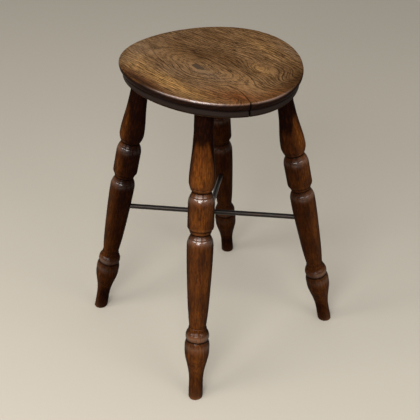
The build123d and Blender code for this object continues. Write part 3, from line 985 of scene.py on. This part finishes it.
# ---- materials ------------------------------------------------------------------------------
class FinishSettings(PropertyGroup):
    elm: colour_setting("Elm", "Main colour of the seat", "#97734d")
    elm_gold: colour_setting("Golden elm", "Colour where the old stain has rubbed away", "#e2ab66")
    elm_line: colour_setting("Elm pores", "Colour of the dark pore lines", "#1e1108")
    edge: colour_setting("Edge", "Colour of the seat's stained edge", "#100806")
    varnish: colour_setting("Varnish", "Main colour of the legs", "#4e2708")
    # also the colour of the painted shade on the sides of the legs
    varnish_dark: colour_setting("Dark varnish", "Colour of thick or dirty varnish", "#150803")
    iron: colour_setting("Iron", "Colour of the rods", "#2a2624")


def new_material(name):
    """Empty material, with its node tree and a surface shader joined to the output."""
    material = bpy.data.materials.new(name)
    material.use_nodes = True
    tree = material.node_tree
    tree.nodes.clear()
    surface = add(tree, "ShaderNodeBsdfPrincipled")
    add(tree, "ShaderNodeOutputMaterial", {"Surface": surface})
    return material, tree, surface


def painted(tree, ground, layers):
    """Ground colour under layers of others, each as (where it lies, how strong, its colour)."""
    paint = (*ground, 1)
    for layer, most, colour in layers:
        if most != 1:
            layer = add(tree, MATH, {0: layer, 1: most}, operation="MULTIPLY")
        links = {"Factor": layer, "A": paint, "B": (*colour, 1)}
        paint = add(tree, "ShaderNodeMix", links, data_type="RGBA")
    return paint


def waxed_elm(name, finish, sizes):
    """Flat-sawn elm plank, planed, stained and waxed long ago.

    The eye sees dark porous lines round paler late wood, short pores along the grain, a soft
    wax sheen, much of it painted on as grey patches, gold where hands have rubbed the stain away,
    a painted highlight along the front arris and near black in the moulding, with the bead painted
    lighter as lit and painted shade in the quirk, in the split, near the rim and towards the right.
    """
    material, tree, surface = new_material(name)
    node = partial(add, tree)
    spot = node("ShaderNodeTexCoord").outputs["Object"]
    plank = node(
        "ShaderNodeMapping",
        {"Vector": spot, "Rotation": (0.0, 0.0, -sizes.grain_angle), "Scale": (1 / MM,) * 3},
    )
    marks = {}
    for mark in ("ring", "pace", "gold", "red", "dark", "painted_sheen", "edge", "under", "painted_shade", "bead", "arris"):
        marks[mark] = node("ShaderNodeAttribute", attribute_name=mark).outputs["Fac"]
    # noises by the size of their grains in millimetres along, across and through the plank; the
    # pores of elm are 0.3 mm wide and up to 10 mm long, drawn about four times as wide to show
    noise = {}
    for pattern, grain, detail in (
        ("waver", (38, 12, 20), 3.0),
        ("ripple", (7, 2.5, 3), 1.0),
        ("pores", (17, 1.3, 3), 2.0),
        ("specks", (3.2, 1.3, 2), 1.0),
        ("clouds", (60, 28, 28), 4.0),
        ("breaks", (30, 16, 16), 3.0),
    ):
        place = node(VECTOR, {0: plank, 1: tuple(1 / g for g in grain)}, operation="MULTIPLY")
        noise[pattern] = node(NOISE, {"Vector": place, "Scale": 1.0, "Detail": detail})
    # the rings waver over about 40 mm of their length
    swung = node(MATH, {0: noise["waver"], 1: 0.8, 2: marks["ring"]}, operation="MULTIPLY_ADD")
    ring = node(MATH, {0: swung}, operation="FRACT")
    # early wood: a thin dark line with one sharp side, fading out over 3 mm
    reach = node(MATH, {0: ring, 1: marks["pace"]}, operation="DIVIDE")
    fading = node(RANGE, {0: reach, 1: 0.6, 2: 2.9, 3: 1.0, 4: 0.0})
    line = node(MATH, {0: fading, 1: 1.25}, operation="POWER")
    # late wood: finer wavy lines, three to every two rings
    parts = node("ShaderNodeSeparateXYZ", {0: plank})
    rippled = node(MATH, {0: noise["ripple"], 1: 0.35, 2: swung}, operation="MULTIPLY_ADD")
    third = node(MATH, {0: rippled, 1: 3.0}, operation="MULTIPLY")
    comb = node(MATH, {0: third, 1: 1.0}, operation="PINGPONG")
    # no two rings are equally dark, and each changes over about 90 mm of its length
    number = node(MATH, {0: swung}, operation="FLOOR")
    apart = node(MATH, {0: number, 1: 7.3}, operation="MULTIPLY")
    slow = node(MATH, {0: parts.outputs["X"], 1: 1 / 90}, operation="MULTIPLY")
    year = node("ShaderNodeCombineXYZ", {"X": apart, "Y": slow})
    growth = node(NOISE, {"Vector": year, "Scale": 1.0, "Detail": 1.0})
    # streaks follow the rings: 2 mm across them, 30 mm along the grain and 9 mm down
    over = node(MATH, {0: swung, 1: 2.6}, operation="MULTIPLY")
    along = node(MATH, {0: parts.outputs["X"], 1: 1 / 30}, operation="MULTIPLY")
    down = node(MATH, {0: parts.outputs["Z"], 1: 1 / 9}, operation="MULTIPLY")
    flow = node("ShaderNodeCombineXYZ", {"X": over, "Y": along, "Z": down})
    streak = node(NOISE, {"Vector": flow, "Scale": 1.0, "Detail": 4.0, "Roughness": 0.65})
    # each mask comes from a pattern that rises between two of its values
    mask = {}
    for label, source, low, high, least, most in (
        ("fine", comb, 0.7, 1.0, 0.0, 1.0),
        ("streaks", streak, 0.44, 0.64, 0.0, 1.0),
        ("pore", noise["pores"], 0.53, 0.64, 0.0, 1.0),
        ("speck", noise["specks"], 0.55, 0.66, 0.0, 1.0),
        ("cloudy", noise["clouds"], 0.4, 0.68, 0.0, 1.0),
        ("broken", noise["breaks"], 0.35, 0.6, 0.5, 1.0),
        ("growth", growth, 0.36, 0.56, 0.55, 1.0),
        # where the rings lie wide apart their streaks would spread into blotches, so they fade
        ("close", marks["pace"], 0.05, 0.15, 0.25, 1.0),
        ("rough", noise["clouds"], 0.3, 0.7, 0.36, 0.5),
        ("polish", marks["arris"], 0.0, 1.0, 0.005, 1.0),
    ):
        mask[label] = node(RANGE, {0: source, 1: low, 2: high, 3: least, 4: most})
    shown = node(MATH, {0: mask["growth"], 1: mask["broken"]}, operation="MULTIPLY")
    strong = node(MATH, {0: line, 1: shown}, operation="MULTIPLY")
    streaks = node(MATH, {0: mask["streaks"], 1: mask["close"]}, operation="MULTIPLY")
    unstreaked = node(MATH, {0: 1.0, 1: mask["streaks"]}, operation="SUBTRACT")
    worn_edge = node(MATH, {0: marks["edge"], 1: unstreaked}, operation="MULTIPLY")
    colour = painted(
        tree,
        finish.elm,
        (
            (marks["gold"], 1.0, finish.elm_gold),
            # painted sheen, in grey patches
            (marks["painted_sheen"], 0.8, linear("#8f7862")),
            (marks["red"], 0.9, linear("#8a4a1e")),
            # darker stain and knots, with painted shade towards the right of the seat and near the rim
            (marks["dark"], 0.95, linear("#593b1c")),
            (mask["cloudy"], 0.3, linear("#5c3d1c")),
            (streaks, 0.8, linear("#3f2710")),
            (mask["fine"], 0.5, finish.elm_line),
            (mask["speck"], 0.42, linear("#341f0d")),
            (mask["pore"], 0.8, linear("#241408")),
            (strong, 0.95, finish.elm_line),
            (marks["edge"], 1.0, finish.edge),
            (worn_edge, 0.18, linear("#3e2416")),
            # painted highlight along the rubbed arris
            (marks["arris"], 0.65, linear("#a28c86")),
            # painted light on the bead's ledge and face
            (marks["bead"], 0.6, linear("#2c2623")),
            (marks["under"], 0.7, linear("#4a3a2a")),
            # painted shade in the quirk and in and beside the split
            (marks["painted_shade"], 1.0, linear("#080504")),
        ),
    )
    # the underside was never waxed, and the pores and the early wood lie deeper than the rest
    drier = node(MATH, {0: marks["under"], 1: 0.3, 2: mask["rough"]}, operation="MULTIPLY_ADD")
    sunk = node(MATH, {0: strong, 1: mask["pore"]}, operation="MAXIMUM")
    height = node(MATH, {0: sunk, 1: -1.0, 2: streak}, operation="MULTIPLY_ADD")
    bump = node("ShaderNodeBump", {"Strength": 0.35, "Distance": 0.35 * MM, "Height": height})
    fill(
        tree,
        surface,
        {
            "Base Color": colour,
            "Roughness": drier,
            "Normal": bump,
            "Specular IOR Level": 0.01,
            "Coat Weight": mask["polish"],
            "Coat IOR": 1.8,
            "Coat Roughness": 0.2,
        },
    )
    return material


def varnished_beech(name, finish):
    """Beech turned between centres, stained and varnished brown, then worn.

    The eye sees short dark flecks along the leg, varnish that is near black where it collected in the
    grooves, painted shade in the grooves, on the inner sides, under the seat and on the sides seen
    aslant, rubbed orange where it has worn thin, worn bands painted lighter as highlights, and a
    hard gloss.
    """
    material, tree, surface = new_material(name)
    node = partial(add, tree)
    turned = node("ShaderNodeAttribute", attribute_name="turned").outputs["Vector"]
    marks = {}
    for mark in ("relief", "leg_shade", "warm", "worn", "polish"):
        marks[mark] = node("ShaderNodeAttribute", attribute_name=mark).outputs["Fac"]
    wood = node(VECTOR, {0: turned, "Scale": 1 / MM}, operation="SCALE")
    # noises by the size of their grains in millimetres, across and along the leg; the flecks of
    # beech are 0.5 mm wide and 5 mm long, drawn three times as wide to show
    noise = {}
    for pattern, wide, long, detail in (
        ("bands", 6, 110, 4.0),
        ("lines", 1.6, 45, 3.0),
        ("flecks", 1.5, 8, 3.0),
        ("mottle", 3.0, 11, 3.0),
        ("clouds", 26, 60, 5.0),
    ):
        grain = (1 / wide, 1 / wide, 1 / long)
        place = node(VECTOR, {0: wood, 1: grain}, operation="MULTIPLY")
        noise[pattern] = node(NOISE, {"Vector": place, "Scale": 1.0, "Detail": detail})
    # painted shade on the sides of each leg, seen aslant, where they turn away from the light; brown
    # varnish is also darker aslant, where the eye looks through more of it
    slant = node("ShaderNodeLayerWeight", {"Blend": 0.5}).outputs["Facing"]
    mask = {}
    for label, source, low, high, least, most in (
        ("light", noise["bands"], 0.44, 0.62, 0.0, 1.0),
        ("line", noise["lines"], 0.5, 0.68, 0.0, 1.0),
        ("fleck", noise["flecks"], 0.54, 0.64, 0.0, 1.0),
        ("mottle", noise["mottle"], 0.44, 0.6, 0.0, 1.0),
        ("glimpse", noise["mottle"], 0.5, 0.36, 0.0, 1.0),
        ("thick", noise["clouds"], 0.46, 0.66, 0.0, 1.0),
        ("rough", noise["clouds"], 0.3, 0.7, 0.26, 0.4),
        # varnish collected in the grooves, and painted shade there
        ("pooled_and_shaded", marks["relief"], -0.12, -0.7, 0.0, 1.0),
        ("rubbed", marks["relief"], 0.15, 0.8, 0.0, 1.0),
        ("painted shade aslant", slant, 0.35, 0.85, 0.0, 0.85),
    ):
        mask[label] = node(RANGE, {0: source, 1: low, 2: high, 3: least, 4: most})
    glimpsed = node(MATH, {0: marks["leg_shade"], 1: mask["glimpse"]}, operation="MULTIPLY")
    colour = painted(
        tree,
        finish.varnish,
        (
            (mask["light"], 0.65, linear("#6c3b10")),
            (marks["warm"], 0.7, linear("#764216")),
            (mask["line"], 0.65, linear("#281104")),
            (mask["thick"], 0.65, linear("#260f04")),
            (mask["mottle"], 0.42, linear("#200d04")),
            # worn bands, painted lighter as highlights on the shoulders and rings
            (marks["worn"], 0.5, linear("#74492b")),
            (mask["fleck"], 0.5, finish.varnish_dark),
            (mask["rubbed"], 0.4, linear("#7e5230")),
            # painted shade on the inner sides and under the seat, darker round the ankle too
            (marks["leg_shade"], 0.96, linear("#0f0605")),
            (glimpsed, 0.08, linear("#5c2a0a")),
            # painted shade on the sides seen aslant
            (mask["painted shade aslant"], 0.7, finish.varnish_dark),
            # near black in the grooves: collected varnish and painted shade
            (mask["pooled_and_shaded"], 0.95, linear("#0a0402")),
        ),
    )
    height = node(MATH, {0: mask["fleck"], 1: -0.5, 2: noise["clouds"]}, operation="MULTIPLY_ADD")
    bump = node("ShaderNodeBump", {"Strength": 0.25, "Distance": 0.3 * MM, "Height": height})
    # the gloss is taken from where shade is painted, on the inner sides, under the seat and on the
    # sides seen aslant, and out of the grooves
    darkened = node(MATH, {0: marks["leg_shade"], 1: mask["pooled_and_shaded"]}, operation="MAXIMUM")
    dull = node(MATH, {0: darkened, 1: mask["painted shade aslant"]}, operation="MAXIMUM")
    gloss = node(RANGE, {0: dull, 1: 0.0, 2: 0.8, 3: 0.015, 4: 0.002})
    sound = node(RANGE, {0: dull, 1: 0.0, 2: 0.8, 3: 0.05, 4: 0.0})
    coat = node(MATH, {0: marks["polish"], 1: 0.95, 2: sound}, operation="MULTIPLY_ADD")
    fill(
        tree,
        surface,
        {
            "Base Color": colour,
            "Roughness": mask["rough"],
            "Normal": bump,
            "Specular IOR Level": gloss,
            "Coat Weight": coat,
            "Coat IOR": 2.0,
            "Coat Roughness": 0.16,
        },
    )
    return material


def stained_plug(name):
    """Side-grain hardwood let in flush and stained almost black, with its gloss worn off.

    The eye sees a dull dark lozenge with faint streaks along its length.
    """
    material, tree, surface = new_material(name)
    node = partial(add, tree)
    spot = node("ShaderNodeTexCoord").outputs["Object"]
    # streaks 11 mm long, 1.1 mm wide and 3.3 mm deep
    wood = node(
        "ShaderNodeMapping",
        {"Vector": spot, "Rotation": (0.0, 0.0, math.radians(45)), "Scale": (91.0, 910.0, 300.0)},
    )
    streak = node(NOISE, {"Vector": wood, "Scale": 1.0, "Detail": 3.0})
    colour = painted(tree, linear("#2e1f12"), ((streak, 1.0, linear("#5c4630")),))
    bump = node("ShaderNodeBump", {"Strength": 0.3, "Distance": 0.2 * MM, "Height": streak})
    settings = {"Base Color": colour, "Normal": bump, "Roughness": 0.5, "Specular IOR Level": 0.15}
    fill(tree, surface, settings)
    return material


def blackened_iron(name, finish):
    """Round iron bar, blackened in the forge and rubbed by shoes, with a little brown rust.

    The eye sees a dark metal with one long soft highlight, broken by fine mottling.
    """
    material, tree, surface = new_material(name)
    node = partial(add, tree)
    spot = node("ShaderNodeTexCoord").outputs["Object"]
    # patches of rust 7 mm wide, and forge scale with a grit of 1.2 mm
    mottle = node(NOISE, {"Vector": spot, "Scale": 1 / (7 * MM), "Detail": 5.0})
    grit = node(NOISE, {"Vector": spot, "Scale": 1 / (1.2 * MM), "Detail": 2.0})
    rust = node(RANGE, {0: mottle, 1: 0.52, 2: 0.7, 3: 0.0, 4: 0.7})
    colour = painted(tree, finish.iron, ((rust, 1.0, linear("#33221a")),))
    rough = node(RANGE, {0: grit, 1: 0.3, 2: 0.7, 3: 0.3, 4: 0.5})
    bump = node("ShaderNodeBump", {"Strength": 0.3, "Distance": 0.15 * MM, "Height": grit})
    fill(tree, surface, {"Base Color": colour, "Roughness": rough, "Normal": bump, "Metallic": 0.8})
    return material


# ---- rods -------------------------------------------------------------------------------------
class RodSettings(PropertyGroup):
    radius: length_setting("Radius", "Radius of the iron rods", 0.005)
    bend: length_setting("Bend", "How far the rods have bent with use", 0.0006)


SIDE_ROD_HEIGHT = 263.0
BACK_ROD_HEIGHT = 246.6
CROSSING_GAP = 3.2
CROSSING_SHIFT = -1.1
ROD_REACH = 6.0
ROD_CHAMFER = 0.8
ROD_COLUMNS = 40
ROD_RINGS = 60
ROD_BENDS = (0.6, 1.0)       # least and most of the set bend that a rod has


def leg_ends(name, sizes):
    """Foot and socket mouth of a leg in the room, in metres."""
    foot, mouth, _, _ = LEGS[name]
    _, across, _ = to_plank(np.array([[mouth[0] * MM, mouth[1] * MM, 0.0]]), sizes)
    thickness = sizes.thickness / MM
    lower = cup_radius(sizes) + thickness
    under = SEAT_HEIGHT - thickness + lower - math.sqrt(lower**2 - across[0] ** 2)
    return Vector(foot) * MM, Vector((*mouth, under)) * MM


def on_leg(name, height, sizes):
    """Place on a leg's axis at a height above the floor."""
    foot, head = leg_ends(name, sizes)
    return foot + (head - foot) * (height * MM / head.z)


def rod_ends(name, sizes, rods):
    """Both ends of a rod's axis, each a little past the axis of the leg that holds it."""
    near = on_leg("leg_left", SIDE_ROD_HEIGHT, sizes)
    far = on_leg("leg_right", SIDE_ROD_HEIGHT, sizes)
    if name == "rod_front_to_back":
        crossing = (near + far) / 2 + (far - near).normalized() * CROSSING_SHIFT * MM
        crossing.z += 2 * rods.radius + CROSSING_GAP * MM
        far = on_leg("leg_back", BACK_ROD_HEIGHT, sizes)
        # its front end is where the line from behind through the crossing passes the front leg
        foot, head = leg_ends("leg_front", sizes)
        ray = (crossing - far).normalized()
        line = (head - foot).normalized()
        between = far - foot
        cosine = ray.dot(line)
        near = far + ray * ((cosine * line.dot(between) - ray.dot(between)) / (1 - cosine**2))
    way = (far - near).normalized() * ROD_REACH * MM
    return near - way, far + way


def rod_mesh(name, sizes, rods, seed):
    """Round bar with chamfered ends and a slight bend."""
    near, far = rod_ends(name, sizes, rods)
    axis = (far - near).normalized()
    side = axis.cross(Vector((0, 0, 1))).normalized()
    up = side.cross(axis)
    length = (far - near).length
    chamfer = ROD_CHAMFER * MM
    stations = [(0.0, rods.radius - chamfer)]
    stations += [(x, rods.radius) for x in np.linspace(chamfer, length - chamfer, ROD_RINGS)]
    stations.append((length, rods.radius - chamfer))
    swing = np.random.default_rng(seed).uniform(*ROD_BENDS) * rods.bend
    places = [near]
    for x, radius in stations:
        share = x / length
        middle = near + axis * x + side * swing * math.sin(2 * math.pi * share)
        middle -= up * swing * math.sin(math.pi * share) ** 2
        for column in range(ROD_COLUMNS):
            turn = 2 * math.pi * column / ROD_COLUMNS
            places.append(middle + (side * math.cos(turn) + up * math.sin(turn)) * radius)
    places.append(far)
    mesh = bpy.data.meshes.new(name)
    mesh.from_pydata([tuple(p) for p in places], [], grid_of_rings(len(stations), ROD_COLUMNS))
    return mesh


# ---- stage ------------------------------------------------------------------------------------
class StageSettings(PropertyGroup):
    floor: colour_setting("Floor", "Colour of the floor", "#c8c1b4")
    lamp_power: FloatProperty(name="Lamps", description="Power of the main lamp", default=41.0, unit="POWER")
    world_light: FloatProperty(name="World", description="Strength of the light all round", default=0.42)


# lamps as name, place, width, height, share of the main lamp's power and colour
LAMPS = (
    ("front", (-0.25, -2.1, 1.95), 1.9, 0.85, 0.95, "#fffdfa"),
    ("left", (-1.85, -1.25, 1.8), 1.7, 0.8, 0.66, "#fffbf6"),
    ("right", (1.75, -1.35, 1.7), 1.7, 0.8, 0.36, "#fffdfa"),
    ("low", (-0.4, -2.35, 1.42), 1.1, 0.3, 0.27, "#fffaf4"),
)
LAMP_TARGET = Vector((0, 0, 0.35))
WORLD_COLOUR = "#f4f3f0"
FLOOR_REACH = 30.0           # metres, so far that the floor's edge lies on the horizon

CAMERA_AZIMUTH = 0.1186
CAMERA_ELEVATION = 0.5756
CAMERA_DISTANCE = 1.6867
CAMERA_TARGET = Vector((0.0, 0.0, 0.290))
CAMERA_PAN = -0.0021
CAMERA_TILT = -0.0093
CAMERA_ROLL = -0.0034
FOCAL_PIXELS = 847.0
FRAME_PIXELS = 420.0
SENSOR = 36.0


def place_camera():
    """Camera at the stool's usual viewing angle, a little above the seat and from the front."""
    level = math.cos(CAMERA_ELEVATION)
    back = Vector(
        (math.sin(CAMERA_AZIMUTH) * level, -math.cos(CAMERA_AZIMUTH) * level, math.sin(CAMERA_ELEVATION))
    )
    upright = Vector((0, 0, 1))
    right = (-back).cross(upright).normalized()
    up = right.cross(-back)
    forward = (-back + right * CAMERA_PAN + up * CAMERA_TILT).normalized()
    right = forward.cross(upright).normalized()
    up = right.cross(forward)
    across = right * math.cos(CAMERA_ROLL) + up * math.sin(CAMERA_ROLL)
    above = up * math.cos(CAMERA_ROLL) - right * math.sin(CAMERA_ROLL)
    turn = Matrix((across, above, -forward)).transposed().to_4x4()
    data = bpy.data.cameras.new("camera")
    data.sensor_width = SENSOR
    data.lens = FOCAL_PIXELS * SENSOR / FRAME_PIXELS
    data.shift_x = 1 / FRAME_PIXELS
    camera = new_object("camera", data)
    camera.matrix_world = Matrix.Translation(CAMERA_TARGET + back * CAMERA_DISTANCE) @ turn
    bpy.context.scene.camera = camera


def place_lamps(power):
    """Soft lamps that all shine at the middle of the stool."""
    for name, place, width, height, share, colour in LAMPS:
        data = bpy.data.lights.new(name, "AREA")
        data.shape = "ELLIPSE"
        data.size = width
        data.size_y = height
        data.energy = power * share
        data.color = linear(colour)
        lamp = new_object(name, data)
        lamp.location = place
        lamp.rotation_euler = (LAMP_TARGET - Vector(place)).to_track_quat("-Z", "Y").to_euler()
        lamp.visible_camera = False


# ---- operators --------------------------------------------------------------------------------
class StoolSettings(PropertyGroup):
    seat: PointerProperty(type=SeatSettings)
    legs: PointerProperty(type=LegSettings)
    rods: PointerProperty(type=RodSettings)
    finish: PointerProperty(type=FinishSettings)
    stage: PointerProperty(type=StageSettings)


class STOOL_OT_seat(Operator):
    """Makes the cupped, moulded elm seat with its drying split"""

    bl_idname = "stool.make_seat"
    bl_label = "Make seat"

    def execute(self, context):
        stool = context.scene.stool
        sizes = stool.seat
        mesh = seat_blank(sizes)
        face_outwards(mesh)
        above = SEAT_HEIGHT + CUT_REACH
        middle = np.mean(PATCH_CORNERS, axis=0)
        recess = SEAT_HEIGHT + cup_lift(middle[1], sizes) - PATCH_DEPTH
        mesh = cut(mesh, prism(split_outline(sizes), SEAT_HEIGHT - CUT_REACH, above, sizes))
        mesh = cut(mesh, prism(PATCH_CORNERS, recess, above, sizes))
        if len(mesh.polygons) < SEAT_COLUMNS * TOP_RINGS:
            raise RuntimeError("the seat lost its faces when the split was cut")
        mark_seat(mesh, sizes)
        seat = new_object("elm_seat", mesh)
        finish_piece(seat, "seat", waxed_elm("waxed_flat_sawn_elm", stool.finish, sizes))
        return {"FINISHED"}


class STOOL_OT_patch(Operator):
    """Makes the dark lozenge let into the top of the seat"""

    bl_idname = "stool.make_patch"
    bl_label = "Make patch"

    def execute(self, context):
        sizes = context.scene.stool.seat
        middle = np.mean(PATCH_CORNERS, axis=0)
        inner = []
        for corner in PATCH_CORNERS:
            way = middle - corner
            inner.append(corner + way / np.hypot(*way) * PATCH_CLEARANCE * PATCH_CORNER_CLEARANCE)
        top = SEAT_HEIGHT + cup_lift(middle[1], sizes)
        mesh = prism(inner, top - PATCH_DEPTH + PATCH_CLEARANCE, top - PATCH_SUNK, sizes)
        shape = bmesh.new()
        shape.from_mesh(mesh)
        lid = max(shape.faces, key=lambda face: face.calc_center_median().z)
        bmesh.ops.bevel(shape, geom=list(lid.edges), offset=PATCH_ROUND * MM, segments=3, affect="EDGES")
        shape.to_mesh(mesh)
        shape.free()
        plug = new_object("plug_in_seat", mesh)
        finish_piece(plug, "seat_patch", stained_plug("dark_stained_plug"))
        return {"FINISHED"}


class STOOL_OT_legs(Operator):
    """Makes the four turned legs"""

    bl_idname = "stool.make_legs"
    bl_label = "Make legs"

    def execute(self, context):
        stool = context.scene.stool
        legs = stool.legs
        material = varnished_beech("varnished_turned_beech", stool.finish)
        tree = lathe_tree()
        for number, (name, (_, _, neck_radius, inner_shade_strength)) in enumerate(LEGS.items()):
            foot, head = leg_ends(name, stool.seat)
            length = (head - foot).length / MM
            outline = leg_outline(legs, length, neck_radius + legs.neck_change / MM)
            template = new_object("outline", outline_mesh(*soften(outline, legs.softening / MM), length))
            leg = new_object(f"turned_{name}", bpy.data.meshes.new(name))
            turning = leg.modifiers.new("turning", "NODES")
            turning.node_group = tree
            set_inputs(
                turning,
                {
                    "Outline": template,
                    "Foot": foot,
                    "Head": head,
                    "Steps round": legs.steps_round,
                    "Out of round": legs.out_of_round,
                    "Dent depth": legs.dent_depth,
                    "Dent spacing": DENT_SPACING * MM,
                    "Seed": DENT_SEED_STEP * number,
                    "Material": material,
                },
            )
            mesh = baked(leg)
            if not mesh.polygons:
                raise RuntimeError(f"{name} came out of its lathe with no faces")
            leg.modifiers.clear()
            fit_leg(mesh, foot, head, stool.seat)
            mark_leg(mesh, foot, head, inner_shade_strength)
            face_outwards(mesh)
            leg.data = mesh
            bpy.data.objects.remove(template)
            finish_piece(leg, name, material)
        return {"FINISHED"}


class STOOL_OT_rods(Operator):
    """Makes the two crossing iron rods"""

    bl_idname = "stool.make_rods"
    bl_label = "Make rods"

    def execute(self, context):
        stool = context.scene.stool
        material = blackened_iron("blackened_iron_bar", stool.finish)
        for number, name in enumerate(("rod_side_to_side", "rod_front_to_back")):
            mesh = rod_mesh(name, stool.seat, stool.rods, SEEDS["rods"] + number)
            face_outwards(mesh)
            rod = new_object(f"iron_{name}", mesh)
            finish_piece(rod, name, material)
        return {"FINISHED"}


class STOOL_OT_stage(Operator):
    """Makes the floor, the lamps and the camera"""

    bl_idname = "stool.make_stage"
    bl_label = "Make stage"

    def execute(self, context):
        scene = context.scene
        settings = scene.stool.stage
        scene.view_settings.view_transform = "Standard"
        mesh = bpy.data.meshes.new("floor")
        corners = ((-1, -1), (1, -1), (1, 1), (-1, 1))
        mesh.from_pydata([(x * FLOOR_REACH, y * FLOOR_REACH, 0) for x, y in corners], [], [(0, 1, 2, 3)])
        floor = new_object("floor", mesh)
        material, tree, surface = new_material("matt_pale_floor")
        fill(tree, surface, {"Base Color": (*settings.floor, 1), "Roughness": 0.9, "Specular IOR Level": 0.1})
        floor.data.materials.append(material)
        world = bpy.data.worlds.new("studio")
        world.use_nodes = True
        tree = world.node_tree
        tree.nodes.clear()
        light = {"Color": (*linear(WORLD_COLOUR), 1), "Strength": settings.world_light}
        sky = add(tree, "ShaderNodeBackground", light)
        add(tree, "ShaderNodeOutputWorld", {"Surface": sky})
        scene.world = world
        place_lamps(settings.lamp_power)
        place_camera()
        return {"FINISHED"}


class STOOL_PT_panel(Panel):
    """Lists the stool's sizes, colours and pieces"""

    bl_idname = "STOOL_PT_panel"
    bl_label = "Round elm stool"
    bl_space_type = "VIEW_3D"
    bl_region_type = "UI"
    bl_category = "Stool"

    def draw(self, context):
        stool = context.scene.stool
        for part in ("seat", "legs", "rods", "finish", "stage"):
            box = self.layout.box()
            box.label(text=part.capitalize())
            group = getattr(stool, part)
            for name in group.__annotations__:
                box.prop(group, name)
        for operator in OPERATORS:
            self.layout.operator(operator.bl_idname)


OPERATORS = (STOOL_OT_seat, STOOL_OT_patch, STOOL_OT_legs, STOOL_OT_rods, STOOL_OT_stage)
CLASSES = (
    SeatSettings,
    LegSettings,
    RodSettings,
    FinishSettings,
    StageSettings,
    StoolSettings,
    *OPERATORS,
    STOOL_PT_panel,
)


def register():
    for entry in CLASSES:
        bpy.utils.register_class(entry)
    bpy.types.Scene.stool = PointerProperty(type=StoolSettings)


def unregister():
    del bpy.types.Scene.stool
    for entry in reversed(CLASSES):
        bpy.utils.unregister_class(entry)


def main():
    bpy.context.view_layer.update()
    register()
    bpy.ops.stool.make_seat()
    bpy.ops.stool.make_patch()
    bpy.ops.stool.make_legs()
    bpy.ops.stool.make_rods()
    bpy.ops.stool.make_stage()


if __name__ == "__main__":
    main()
